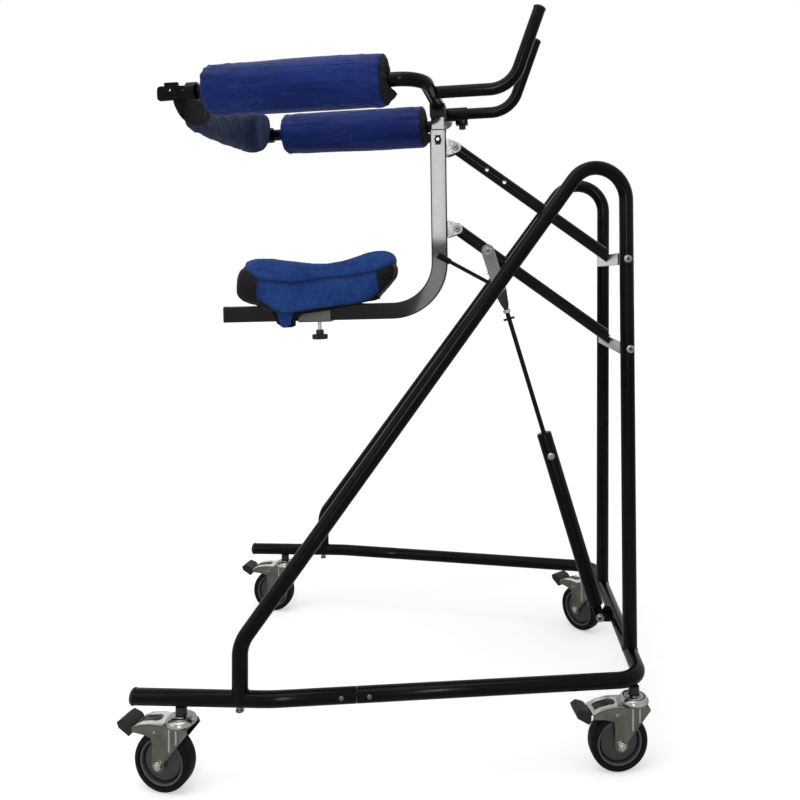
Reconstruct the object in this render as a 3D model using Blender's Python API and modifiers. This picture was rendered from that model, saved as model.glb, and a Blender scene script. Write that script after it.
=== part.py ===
"""A wheeled walker with a saddle and a padded trunk ring, carried on a sprung lifting linkage.

Metres, +X forward, +Y to the user's left, +Z up, floor at Z = 0. Distances called x below run
forward from the rear ends of the base rails, which lie FRAME_MIDDLE_X behind the origin.
"""

import math

import bmesh
import bpy
from mathutils import Euler, Matrix, Vector

# Clearances
TOUCH_GAP = 0.0003
SLIDE_GAP = 0.0005
PIVOT_GAP = 0.0004

# Whole object
FRAME_MIDDLE_X = 0.435

# Round frame tube
TUBE_RADIUS = 0.014
TUBE_WALL = 0.002
TUBE_SIDES = 12

# Base rails and crossbar
RAIL_HEIGHT = 0.163
RAIL_REAR_Y = 0.367
RAIL_BEND_X = 0.238
RAIL_BEND_RADIUS = 0.300
RAIL_JOINT_X = 0.385
CROSSBAR_X = 0.894
CORNER_Y = 0.272
CORNER_BEND_RADIUS = 0.050
SPIGOT_LENGTH = 0.060
SPIGOT_WALL = 0.0018
SPIGOT_COLLAR = 0.014

# Side frames, one bent tube each
FOOT_X = 0.185
FOOT_TOP_HEIGHT = 0.258
FOOT_BEND_RADIUS = 0.060
APEX_X = 0.891
APEX_Y = 0.134
APEX_HEIGHT = 1.231
APEX_BEND_RADIUS = 0.062
LEG_FOOT_X = 0.894
LEG_FOOT_Y = 0.165
COPE_DEPTH = 0.006

# Lifting linkage, seen from the side
ARM_PIVOT_X = 0.8918
ARM_PIVOT_HEIGHT = 0.929
LOWER_PIVOT_X = 0.8955
LOWER_PIVOT_HEIGHT = 0.752
ARM_LENGTH = 0.4214
ARM_SLOPE = math.radians(35.6)
ARM_RADIUS = 0.0127
ARM_WALL = 0.002
ARM_REAR_OVERHANG = 0.008
ARM_HOLE_RADIUS = 0.004
UPPER_ARM_HOLES = (0.072, 0.118)
LOWER_ARM_HOLES = (0.118,)
YOKE_SETBACK = 0.014
YOKE_PLATE = 0.004
YOKE_HEIGHT = 0.024
YOKE_END_RADIUS = 0.012
BOLT_RADIUS = 0.004
BOLT_HEAD_RADIUS = 0.008
BOLT_HEAD_THICK = 0.0035
BOLT_SOCKET_RADIUS = 0.0035
BOLT_SOCKET_DEPTH = 0.002

# Column and seat rail, one bent square tube
COLUMN_HALF = 0.0175
COLUMN_WALL = 0.002
COLUMN_LEAN = math.radians(0.79)
COLUMN_ABOVE_PIVOT = 0.0367
COLUMN_BEND_RADIUS = 0.105
SEAT_RAIL_REAR_X = 0.043
SEAT_RAIL_HEIGHT = 0.810
SEAT_RAIL_RISE = 0.0262
CLEVIS_HEIGHT = 0.036
CLEVIS_BASE = 0.004
CLEVIS_CHEEK = 0.003
CLEVIS_TIP_RADIUS = 0.012
CLEVIS_TIP_TURN = math.radians(60)
CLEVIS_REACH = 0.0392

# Mast and its clamp screw
MAST_HALF = 0.015
MAST_INSERTION = 0.190
MAST_OUT = 0.0285
MAST_SCREW_DROP = 0.021
MAST_SCREW_RADIUS = 0.004
MAST_SCREW_HEAD = 0.0075
MAST_SCREW_HEAD_THICK = 0.010

# Trunk ring, turned a little on the mast
HEAD_RISE = 0.0305
HEAD_YAW = math.radians(-4.5)
HEAD_PITCH = math.radians(-1.8)
HEAD_ROLL = math.radians(-0.9)
HEAD_BLOCK_HALF = 0.0165
HEAD_BLOCK_LIFT = 0.0012
TRUNK_BAR_Y = 0.220
TRUNK_BAR_LENGTH = 0.449
TRUNK_BEND_RADIUS = 0.050
EXTENSION_RADIUS = 0.011
EXTENSION_OUT = 0.085
EXTENSION_INSERTION = 0.100
END_FITTING_LENGTH = 0.045
END_FITTING_HALF_HEIGHT = 0.0145
END_FITTING_HALF_WIDTH = 0.0065
END_HOLE_RADIUS = 0.0025
END_HOLE_SPACING = 0.0285
PAD_LENGTH = 0.350
PAD_FRONT_RIGHT = 0.077
PAD_FRONT_LEFT = 0.067
PAD_RADIUS_FRONT = 0.052
PAD_RADIUS_REAR = 0.049
PAD_EDGE = 0.014
PAD_SWELL = 0.001
PAD_STEPS = 20

# Handlebars
HANDLE_Y = 0.104
HANDLE_RADIUS = 0.0127
HANDLE_WALL = 0.002
HANDLE_REACH_RIGHT = 0.164
HANDLE_REACH_LEFT = 0.155
HANDLE_LEAN = math.radians(21.3)
HANDLE_RISE = 0.158
HANDLE_BEND_RADIUS = 0.065
SOCKET_RADIUS = 0.0155
SOCKET_WALL = 0.0023
SOCKET_FRONT = 0.056
CLAMP_REAR = 0.028
CLAMP_DROP = 0.010
CLAMP_HALF_WIDTH = 0.011
KNOB_X = 0.043
KNOB_RADIUS = 0.0075
KNOB_HEIGHT = 0.010

# Back strap
STRAP_HALF_HEIGHT = 0.053
STRAP_HALF_THICK = 0.006
STRAP_CROSS_X = 0.497
STRAP_FRONT_X = 0.453
STRAP_BEND_RADIUS = 0.040
STRAP_BOW_RADIUS = 0.5
STRAP_DROOP = 0.003
STRAP_FOLD = 0.004
STRAP_TAPER = 0.10
STRAP_FRONT_TAPER = 0.18
STRAP_END_SHARE = 0.45
STRAP_FOLD_TURN = 9.0
STRAP_EDGE_POWER = 0.7
STRAP_FACE_POWER = 0.6
STRAP_STATIONS = 18
STRAP_SIDES = 12

# Saddle, its sleeve and its knob
SLEEVE_REAR_X = 0.206
SLEEVE_LENGTH = 0.071
SLEEVE_WALL = 0.0025
SADDLE_GAP = 0.0005
SADDLE_REAR_X = 0.064
SADDLE_LENGTH = 0.356
SADDLE_HALF_WIDTH = 0.100
SADDLE_HEIGHT = 0.117
SADDLE_SKIRT = 0.012
SADDLE_SLOT_CORNER = 0.005
SEAT_KNOB_X = 0.249
SEAT_KNOB_STUD_RADIUS = 0.004
SEAT_KNOB_STUD_LENGTH = 0.022
SEAT_KNOB_HUB_RADIUS = 0.008
SEAT_KNOB_HUB_HEIGHT = 0.010
SEAT_KNOB_FLANGE_RADIUS = 0.017
SEAT_KNOB_FLANGE_HEIGHT = 0.009

# Lever, tie rod and spring strut
LEVER_PIVOT_ALONG = 0.0811
LEVER_LENGTH = 0.1222
LEVER_TIE_ALONG = 0.0864
LEVER_SLOPE = math.radians(17.65)
LEVER_HALF_WIDTH = 0.0130
LEVER_INNER_HALF = 0.0135
LEVER_PLATE = 0.003
LEVER_WEB_START = 0.030
LEVER_WEB_END = 0.052
LEVER_PAST = 0.040
LEVER_PIN_RADIUS = 0.0025
LEVER_PIN_PLAY = 0.0012
TIE_AHEAD = 0.0027
TIE_DROP = 0.0605
TIE_RADIUS = 0.0045
TIE_SLEEVE_RADIUS = 0.0065
TIE_SLEEVE_LENGTH = 0.024
TIE_EYE_RADIUS = 0.0072
TIE_STUB_LENGTH = 0.0140
TIE_SIDE_GAP = 0.0045
TIE_EYE_LAP = 0.0015
SPRING_FOOT_X = 0.861
SPRING_FOOT_HEIGHT = 0.157
SPRING_TUBE_RADIUS = 0.016
SPRING_TUBE_WALL = 0.002
SPRING_TUBE_START = 0.027
SPRING_TUBE_END = 0.4155
SPRING_TUBE_CAP = 0.006
SPRING_ROD_RADIUS = 0.005
SPRING_ROD_CROSS_HALF = 0.0125
SPRING_ROD_INSERTION = 0.050
PISTON_LENGTH = 0.014
SPRING_WIRE_RADIUS = 0.00175
SPRING_TURNS = 15
SPRING_POINTS_PER_TURN = 8
SPRING_LUG_HALF = 0.003
SPRING_LUG_RADIUS = 0.0105
SPRING_LUG_BOTTOM = 0.143
SPRING_LUG_TOP = 0.183
SPRING_LUG_TOP_X = 0.874
SPRING_STUD_RADIUS = 0.004
SPRING_STUD_HALF = 0.012
SPRING_CHEEK = 0.004
SPRING_CHEEK_RADIUS = 0.010

# Casters
REAR_STEM_X = 0.082
FRONT_STEM_X = 0.881
FRONT_STEM_Y = 0.267
STEM_RADIUS = 0.006
STEM_TOP_HEIGHT = 0.166
COLLAR_RADIUS = 0.0097
RACE_RADIUS = 0.0265
RACE_TOP_HEIGHT = 0.133
RACE_EDGE_HEIGHT = 0.1245
RACE_BOTTOM_HEIGHT = 0.1215
RACE_CROWN_RADIUS = 0.018
RACE_CROWN_DROP = 0.001
RACE_RIM_INSET = 0.002
RACE_RIM_RISE = 0.003
STEM_FOOT_DROP = 0.006
CORNER_BOSS_RADIUS = 0.0115
CASTER_TRAIL = 0.031
WHEEL_RADIUS = 0.0535
WHEEL_SIDES = 24
TYRE_HALF_WIDTH = 0.016
TYRE_SHOULDER = 0.005
TYRE_SHOULDER_SHARE = 0.3
RIM_RADIUS = 0.042
RIM_HALF_WIDTH = 0.0125
RIM_BAND = 0.006
HUB_RADIUS = 0.014
HUB_HALF_WIDTH = 0.0165
DISC_HALF_WIDTH = 0.009
AXLE_RADIUS = 0.004
AXLE_HEAD_RADIUS = 0.0075
AXLE_HEAD_THICK = 0.005
FORK_HALF_WIDTH = 0.022
FORK_PLATE = 0.003
FORK_TOP_HEIGHT = 0.121
FORK_SHELF_DROP = 0.010
FORK_SHELF_REACH = 0.083
FORK_SHELF_BOTTOM = 0.104
FORK_TIP_RADIUS = 0.012
FORK_FRONT_REACH = 0.024
FORK_CHAMFER_RUN = 0.004
FORK_CHAMFER_DROP = 0.008
FORK_DECK_REACH = 0.048
FORK_SLOPE_REACH = 0.068
FORK_SLOPE_SHARE = 0.35
FORK_FLARE_REACH = 0.060
FORK_FLARE_DROP = 0.002
FORK_WAIST_REACH = 0.045
FORK_WAIST_DROP = 0.006
FORK_LEG_DROP = 0.018
FORK_TIP_TURN = math.radians(25)
SLOT_HALF_WIDTH = 0.0105
SLOT_FRONT_REACH = 0.050
PEDAL_PIVOT_REACH = 0.039
PEDAL_PIVOT_HEIGHT = 0.1125
PEDAL_PIN_RADIUS = 0.0025
PEDAL_NECK_HALF_WIDTH = 0.009
PEDAL_NECK_HALF_HEIGHT = 0.0040
PEDAL_EYE_RADIUS = 0.0050
PEDAL_ROOT_REACH = 0.086
PEDAL_TIP_REACH = 0.122
PEDAL_HALF_WIDTH = 0.022
PEDAL_ROOT_BOTTOM = 0.090
PEDAL_ROOT_TOP = 0.113
PEDAL_TIP_BOTTOM = 0.106
PEDAL_TIP_TOP = 0.125
PEDAL_NECK_LAP = 0.004
TREAD_HEEL = 0.006
TREAD_TOP_RUN = 0.012
TREAD_NOSE_DROP = 0.008
TREAD_NOSE_RUN = 0.004
CASTERS = (
    ("rear_right", -1, True, math.radians(-11)),
    ("front_right", -1, False, math.radians(10)),
    ("rear_left", 1, True, math.radians(-7)),
    ("front_left", 1, False, math.radians(-48)),
)

# Places worked out from the sizes above
TUBE_BORE = TUBE_RADIUS * math.cos(math.pi / TUBE_SIDES) - TUBE_WALL
ARM_DIRECTION = Vector((math.cos(ARM_SLOPE), 0, -math.sin(ARM_SLOPE)))
UPPER_FRONT = Vector((ARM_PIVOT_X, 0, ARM_PIVOT_HEIGHT))
LOWER_FRONT = Vector((LOWER_PIVOT_X, 0, LOWER_PIVOT_HEIGHT))
UPPER_REAR = UPPER_FRONT - ARM_LENGTH * ARM_DIRECTION
LOWER_REAR = LOWER_FRONT - ARM_LENGTH * ARM_DIRECTION
COLUMN_X = LOWER_REAR.x - CLEVIS_REACH
COLUMN_TOP_HEIGHT = UPPER_REAR.z + COLUMN_ABOVE_PIVOT
MAST_TOP_HEIGHT = COLUMN_TOP_HEIGHT + MAST_OUT
MAST_SCREW_HEIGHT = COLUMN_TOP_HEIGHT - MAST_SCREW_DROP
HEAD_HEIGHT = MAST_TOP_HEIGHT + HEAD_RISE
TIE_REAR_HEIGHT = LOWER_REAR.z - TIE_DROP
LEVER_TOP = LOWER_REAR + LEVER_PIVOT_ALONG * ARM_DIRECTION
LEVER_DIRECTION = Vector((math.sin(LEVER_SLOPE), 0, -math.cos(LEVER_SLOPE)))
LEVER_TIE = LEVER_TOP + LEVER_TIE_ALONG * LEVER_DIRECTION
LEVER_END = LEVER_TOP + LEVER_LENGTH * LEVER_DIRECTION
SPRING_FOOT = Vector((SPRING_FOOT_X, 0, SPRING_FOOT_HEIGHT))
SPRING_DIRECTION = (LEVER_END - SPRING_FOOT).normalized()
SPRING_SPAN = (LEVER_END - SPRING_FOOT).length
HEAD_TURN = Euler((HEAD_ROLL, HEAD_PITCH, HEAD_YAW), "XYZ")

FINISHES = {
    "black_paint": ((0.006, 0.006, 0.007, 1), 0.28, 0.0),
    "column_paint": ((0.045, 0.047, 0.052, 1), 0.35, 0.3),
    "zinc": ((0.55, 0.56, 0.55, 1), 0.25, 1.0),
    "lever_steel": ((0.22, 0.23, 0.24, 1), 0.40, 0.8),
    "black_plastic": ((0.012, 0.012, 0.013, 1), 0.50, 0.0),
    "tyre_rubber": ((0.020, 0.020, 0.022, 1), 0.70, 0.0),
    "wheel_plastic": ((0.030, 0.031, 0.033, 1), 0.50, 0.0),
    "blue_cover": ((0.010, 0.025, 0.190, 1), 0.55, 0.0),
    "saddle_cloth": ((0.020, 0.070, 0.290, 1), 0.80, 0.0),
}


def clear_scene():
    for item in list(bpy.data.objects):
        bpy.data.objects.remove(item, do_unlink=True)


def make_collection(name):
    collection = bpy.data.collections.new(name)
    bpy.context.scene.collection.children.link(collection)
    return collection


def make_materials():
    made = {}
    for name, (color, roughness, metallic) in FINISHES.items():
        material = bpy.data.materials.new(name)
        material.use_nodes = True
        shader = material.node_tree.nodes["Principled BSDF"]
        shader.inputs["Base Color"].default_value = color
        shader.inputs["Roughness"].default_value = roughness
        shader.inputs["Metallic"].default_value = metallic
        material.diffuse_color = color
        made[name] = material
    return made


clear_scene()
PARTS = make_collection("wheeled_walker")
CUTTERS = make_collection("cutters")
MATERIALS = make_materials()
ROOT = bpy.data.objects.new("walker_frame", None)
ROOT.location = (-FRAME_MIDDLE_X, 0, 0)
PARTS.objects.link(ROOT)


def add(name, data, location=(0, 0, 0), rotation=(0, 0, 0), parent=None):
    """An object, or with no data an empty, placed in its parent's frame."""
    item = bpy.data.objects.new(name, data)
    item.location = location
    item.rotation_euler = rotation
    item.parent = parent or ROOT
    PARTS.objects.link(item)
    return item


def finish(item, material, smooth_angle=math.radians(35)):
    """Gives a piece its material and smooth shading."""
    item.data.materials.clear()
    item.data.materials.append(MATERIALS[material])
    if item.type == "MESH":
        item.data.shade_smooth()
        item.data.set_sharp_from_angle(angle=smooth_angle)
    return item


def from_bmesh(name, shape, location=(0, 0, 0), rotation=(0, 0, 0), parent=None):
    mesh = bpy.data.meshes.new(name)
    shape.to_mesh(mesh)
    shape.free()
    return add(name, mesh, location, rotation, parent)


def box(name, low, high, parent=None):
    shape = bmesh.new()
    low = Vector(low)
    high = Vector(high)
    size = high - low
    place = Matrix.Translation((low + high) / 2) @ Matrix.Diagonal((*size, 1))
    bmesh.ops.create_cube(shape, size=1, matrix=place)
    return from_bmesh(name, shape, parent=parent)


def rod(name, start, end, radius, sides=16, end_radius=None, parent=None):
    """A round bar or a cone between two points."""
    start = Vector(start)
    end = Vector(end)
    along = end - start
    shape = bmesh.new()
    bmesh.ops.create_cone(
        shape,
        cap_ends=True,
        segments=sides,
        radius1=radius,
        radius2=radius if end_radius is None else end_radius,
        depth=along.length,
        matrix=Matrix.Translation((start + end) / 2) @ along.to_track_quat("Z", "Y").to_matrix().to_4x4(),
    )
    return from_bmesh(name, shape, parent=parent)


def evaluated_mesh(item):
    """The mesh of an object with its modifiers, or of a curve with its caps welded."""
    bpy.context.view_layer.update()
    graph = bpy.context.evaluated_depsgraph_get()
    mesh = bpy.data.meshes.new_from_object(item.evaluated_get(graph))
    shape = bmesh.new()
    shape.from_mesh(mesh)
    bmesh.ops.remove_doubles(shape, verts=shape.verts, dist=0.00001)
    shape.to_mesh(mesh)
    shape.free()
    return mesh


def as_mesh(item):
    """The same object with its modifiers applied, as a plain mesh."""
    mesh = evaluated_mesh(item)
    solid = bpy.data.objects.new(item.name, mesh)
    solid.parent = item.parent
    solid.location = item.location
    solid.rotation_euler = item.rotation_euler
    name = item.name
    bpy.data.objects.remove(item, do_unlink=True)
    solid.name = name
    PARTS.objects.link(solid)
    return solid


def hide_as_cutter(item):
    item.hide_render = True
    item.display_type = "WIRE"
    PARTS.objects.unlink(item)
    CUTTERS.objects.link(item)


def combine(item, other, operation):
    modifier = item.modifiers.new(operation.lower(), "BOOLEAN")
    modifier.operation = operation
    modifier.object = other
    modifier.solver = "EXACT"
    hide_as_cutter(other)
    return item


def cut(item, *others):
    for other in others:
        combine(item, other, "DIFFERENCE")
    return item


def weld(item, *others):
    for other in others:
        combine(item, other, "UNION")
    return item


def rounded(corners, radius, steps=6):
    """The points of a path whose inner corners are arcs of one radius, or of one radius each."""
    corners = [Vector(point) for point in corners]
    radii = radius if isinstance(radius, (tuple, list)) else [radius] * (len(corners) - 2)
    points = [corners[0]]
    for index in range(1, len(corners) - 1):
        here = corners[index]
        back = (corners[index - 1] - here).normalized()
        ahead = (corners[index + 1] - here).normalized()
        half = back.angle(ahead) / 2
        reach = radii[index - 1] / math.tan(half)
        middle = here + (back + ahead).normalized() * radii[index - 1] / math.sin(half)
        first = here + back * reach - middle
        turn = math.pi - 2 * half
        axis = first.cross(here + ahead * reach - middle)
        for step in range(steps + 1):
            points.append(middle + Matrix.Rotation(turn * step / steps, 3, axis) @ first)
    points.append(corners[-1])
    return points


def path(name, points, parent=None):
    curve = bpy.data.curves.new(name, "CURVE")
    curve.dimensions = "3D"
    spline = curve.splines.new("POLY")
    spline.points.add(len(points) - 1)
    for target, point in zip(spline.points, points):
        target.co = (*point, 1)
    return add(name, curve, parent=parent)


def tube(name, points, radius, wall, sides=TUBE_SIDES, parent=None):
    """A round tube with open ends along a path, as a mesh."""
    curve = path(name, points, parent)
    curve.data.bevel_depth = radius
    curve.data.bevel_resolution = (sides - 4) // 2
    skin = as_mesh(curve)
    shell = skin.modifiers.new("wall", "SOLIDIFY")
    shell.thickness = wall
    shell.offset = -1
    shell.use_even_offset = True
    return as_mesh(skin)


def square_tube(name, points, half, wall, parent=None):
    """A square tube with open ends, swept along a path in an upright plane."""
    corners = [(-half, -half), (-half, half), (half, half), (half, -half)]
    section = outline_curve(name + "_section", corners)
    hide_as_cutter(section)
    section.data.fill_mode = "NONE"
    curve = path(name, points, parent)
    curve.data.bevel_mode = "OBJECT"
    curve.data.bevel_object = section
    skin = as_mesh(curve)
    bpy.data.objects.remove(section, do_unlink=True)
    shell = skin.modifiers.new("wall", "SOLIDIFY")
    shell.thickness = wall
    shell.offset = -1
    shell.use_even_offset = True
    return as_mesh(skin)


def outline_curve(name, points):
    curve = bpy.data.curves.new(name, "CURVE")
    curve.dimensions = "2D"
    curve.fill_mode = "BOTH"
    spline = curve.splines.new("POLY")
    spline.points.add(len(points) - 1)
    spline.use_cyclic_u = True
    for target, point in zip(spline.points, points):
        target.co = (point[0], point[1], 0, 1)
    return add(name, curve)


def plate(name, points, low, high, parent=None):
    """A flat outline in the XZ plane, as a plate between two Y values."""
    curve = outline_curve(name, [(x, z) for x, z in points])
    curve.data.extrude = (high - low) / 2
    curve.location = (0, (low + high) / 2, 0)
    curve.rotation_euler = (math.pi / 2, 0, 0)
    curve.parent = parent or ROOT
    return as_mesh(curve)


def arc(middle, radius, start, end, steps=6):
    """Points of an arc in the XZ plane, its angles in radians from +X towards +Z."""
    return [
        (
            middle[0] + radius * math.cos(start + (end - start) * step / steps),
            middle[1] + radius * math.sin(start + (end - start) * step / steps),
        )
        for step in range(steps + 1)
    ]


def link_outline(first, second, first_radius, second_radius, steps=7):
    """The outline of a strap that runs round two points of the XZ plane."""
    along = math.atan2(second[1] - first[1], second[0] - first[0])
    length = math.hypot(second[0] - first[0], second[1] - first[1])
    tilt = math.acos((first_radius - second_radius) / length)
    rear = arc(first, first_radius, along + tilt, along + math.tau - tilt, steps)
    front = arc(second, second_radius, along - tilt, along + tilt, steps)
    return rear + front


def turned(name, profile, steps=WHEEL_SIDES, location=(0, 0, 0), rotation=(0, 0, 0), parent=None):
    """A profile of (radius, height) points turned about the object's own Z axis."""
    shape = bmesh.new()
    points = [shape.verts.new((radius, 0, height)) for radius, height in profile]
    for first, second in zip(points, points[1:]):
        shape.edges.new((first, second))
    item = from_bmesh(name, shape, location, rotation, parent)
    screw = item.modifiers.new("turn", "SCREW")
    screw.steps = steps
    screw.render_steps = steps
    screw.use_merge_vertices = True
    screw.merge_threshold = 0.00001
    return item


def loft(name, sections, location=(0, 0, 0), rotation=(0, 0, 0), parent=None):
    """A closed skin over rings of points, each ring with the same number of points."""
    shape = bmesh.new()
    rings = [[shape.verts.new(point) for point in section] for section in sections]
    for first, second in zip(rings, rings[1:]):
        for index in range(len(first)):
            ahead = (index + 1) % len(first)
            shape.faces.new((first[index], second[index], second[ahead], first[ahead]))
    shape.faces.new(rings[0])
    shape.faces.new(reversed(rings[-1]))
    bmesh.ops.recalc_face_normals(shape, faces=shape.faces)
    return from_bmesh(name, shape, location, rotation, parent)


def bolt(name, middle, face, radius, head_radius, head_thick, head_sides=(16, 6), parent=None):
    """A bolt across the walker, its head on the right and its nut on the left, each from face outwards."""
    reach = Vector((0, face + head_thick / 2, 0))
    shaft = rod(name, middle - reach, middle + reach, radius, 12, parent=parent)
    for side, sign, sides in (("right", -1, head_sides[0]), ("left", 1, head_sides[1])):
        inner = middle + Vector((0, sign * face, 0))
        outer = inner + Vector((0, sign * head_thick, 0))
        weld(shaft, rod(f"{name}_head_{side}", inner, outer, head_radius, sides, parent=parent))
    return shaft


def rail_y(x):
    """How far from the middle plane the middle of a base rail lies."""
    slope = (RAIL_REAR_Y - CORNER_Y) / (CROSSBAR_X - RAIL_BEND_X)
    return RAIL_REAR_Y - slope * max(0, x - RAIL_BEND_X)


def leg_y(height):
    """How far from the middle plane the middle of a front leg lies."""
    share = (height - RAIL_HEIGHT) / (APEX_HEIGHT - RAIL_HEIGHT)
    return LEG_FOOT_Y + (APEX_Y - LEG_FOOT_Y) * share


def base_rails():
    bend = (RAIL_BEND_X, RAIL_REAR_Y)
    joint = (RAIL_JOINT_X, rail_y(RAIL_JOINT_X))
    taper = Vector((RAIL_JOINT_X - RAIL_BEND_X, joint[1] - RAIL_REAR_Y, 0)).normalized()
    for side, sign in (("right", -1), ("left", 1)):
        corners = [
            Vector((0, sign * RAIL_REAR_Y, RAIL_HEIGHT)),
            Vector((bend[0], sign * bend[1], RAIL_HEIGHT)),
            Vector((joint[0], sign * joint[1], RAIL_HEIGHT)),
        ]
        rail = tube(f"base_rail_{side}", rounded(corners, RAIL_BEND_RADIUS, 3), TUBE_RADIUS, TUBE_WALL)
        ahead = Vector((taper.x, sign * taper.y, 0))
        spigot_radius = TUBE_BORE - SLIDE_GAP
        collar_radius = TUBE_RADIUS - TUBE_WALL / 2
        profile = [
            (spigot_radius - SPIGOT_WALL, SPIGOT_LENGTH),
            (spigot_radius, SPIGOT_LENGTH),
            (spigot_radius, 0),
            (collar_radius, -TOUCH_GAP),
            (collar_radius, -SPIGOT_COLLAR),
            (spigot_radius - SPIGOT_WALL, -SPIGOT_COLLAR),
            (spigot_radius - SPIGOT_WALL, SPIGOT_LENGTH),
        ]
        heading = ahead.to_track_quat("Z", "Y").to_euler()
        spigot = turned(f"spigot_{side}", profile, TUBE_SIDES, corners[2], heading)
        weld(rail, spigot)
        stem_hole = rod(
            f"rail_stem_hole_{side}",
            (REAR_STEM_X, sign * RAIL_REAR_Y, RAIL_HEIGHT - 2 * TUBE_RADIUS),
            (REAR_STEM_X, sign * RAIL_REAR_Y, RAIL_HEIGHT),
            STEM_RADIUS + SLIDE_GAP,
        )
        cut(rail, stem_hole)
        finish(rail, "black_paint")


def base_front():
    start_x = RAIL_JOINT_X + TOUCH_GAP
    corners = [
        (start_x, -rail_y(start_x), RAIL_HEIGHT),
        (CROSSBAR_X, -CORNER_Y, RAIL_HEIGHT),
        (CROSSBAR_X, CORNER_Y, RAIL_HEIGHT),
        (start_x, rail_y(start_x), RAIL_HEIGHT),
    ]
    front = tube("base_front_tube", rounded(corners, CORNER_BEND_RADIUS, 7), TUBE_RADIUS, TUBE_WALL)
    for side, sign in (("right", -1), ("left", 1)):
        place = Vector((FRONT_STEM_X, sign * FRONT_STEM_Y, 0))
        bottom = place + Vector((0, 0, RAIL_HEIGHT - TUBE_RADIUS))
        top = place + Vector((0, 0, STEM_TOP_HEIGHT + TUBE_WALL))
        weld(front, rod(f"corner_boss_{side}", bottom, top, CORNER_BOSS_RADIUS))
        below = place + Vector((0, 0, RAIL_HEIGHT - 2 * TUBE_RADIUS))
        bore_top = place + Vector((0, 0, STEM_TOP_HEIGHT + TOUCH_GAP))
        cut(front, rod(f"corner_bore_{side}", below, bore_top, STEM_RADIUS + SLIDE_GAP))
    weld_x = CROSSBAR_X - TUBE_RADIUS + TUBE_WALL / 2
    foot = (SPRING_FOOT_X, SPRING_FOOT_HEIGHT)
    outline = [(weld_x, SPRING_LUG_BOTTOM), (weld_x, SPRING_LUG_TOP), (SPRING_LUG_TOP_X, SPRING_LUG_TOP)]
    outline += arc(foot, SPRING_LUG_RADIUS, math.radians(75), math.radians(250), 9)
    lug = plate("spring_lug", outline, -SPRING_LUG_HALF, SPRING_LUG_HALF)
    reach = Vector((0, SPRING_STUD_HALF, 0))
    stud = rod("spring_stud", SPRING_FOOT - reach, SPRING_FOOT + reach, SPRING_STUD_RADIUS)
    weld(front, lug, stud)
    finish(front, "black_paint")


def side_frames():
    for side, sign in (("right", -1), ("left", 1)):
        seat_height = RAIL_HEIGHT + TUBE_RADIUS - COPE_DEPTH
        corners = [
            (FOOT_X, sign * RAIL_REAR_Y, seat_height),
            (FOOT_X, sign * RAIL_REAR_Y, FOOT_TOP_HEIGHT),
            (APEX_X, sign * APEX_Y, APEX_HEIGHT),
            (LEG_FOOT_X, sign * leg_y(seat_height), seat_height),
        ]
        points = rounded(corners, (FOOT_BEND_RADIUS, APEX_BEND_RADIUS), 7)
        frame = tube(f"side_frame_{side}", points, TUBE_RADIUS, TUBE_WALL)
        rail_cope = rod(
            f"rail_cope_{side}",
            (FOOT_X - 2 * TUBE_RADIUS, sign * RAIL_REAR_Y, RAIL_HEIGHT),
            (FOOT_X + 2 * TUBE_RADIUS, sign * RAIL_REAR_Y, RAIL_HEIGHT),
            TUBE_RADIUS + TOUCH_GAP,
            24,
        )
        bar_cope = rod(
            f"crossbar_cope_{side}",
            (CROSSBAR_X, sign * (LEG_FOOT_Y - 2 * TUBE_RADIUS), RAIL_HEIGHT),
            (CROSSBAR_X, sign * (LEG_FOOT_Y + 2 * TUBE_RADIUS), RAIL_HEIGHT),
            TUBE_RADIUS + TOUCH_GAP,
            24,
        )
        cut(frame, rail_cope, bar_cope)
        for level, place in (("upper", UPPER_FRONT), ("lower", LOWER_FRONT)):
            middle = Vector((place.x, sign * leg_y(place.z), place.z))
            reach = Vector((0, 2 * TUBE_RADIUS, 0))
            name = f"leg_hole_{level}_{side}"
            cut(frame, rod(name, middle - reach, middle + reach, BOLT_RADIUS + PIVOT_GAP))
        finish(frame, "black_paint")


def cross_bolts():
    """The long bolts through both front legs, on which the two arms swing."""
    for level, place in (("upper", UPPER_FRONT), ("lower", LOWER_FRONT)):
        face = leg_y(place.z - BOLT_HEAD_RADIUS) + TUBE_RADIUS + TOUCH_GAP
        name = f"cross_bolt_{level}"
        pin = bolt(name, place, face, BOLT_RADIUS, BOLT_HEAD_RADIUS, BOLT_HEAD_THICK, (16, 16))
        for side, sign in (("right", -1), ("left", 1)):
            outer = sign * (face + BOLT_HEAD_THICK)
            bottom = place + Vector((0, outer - sign * BOLT_SOCKET_DEPTH, 0))
            past = place + Vector((0, outer + sign * BOLT_SOCKET_DEPTH, 0))
            cut(pin, rod(f"{name}_socket_{side}", bottom, past, BOLT_SOCKET_RADIUS, 6))
        finish(pin, "zinc")


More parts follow.
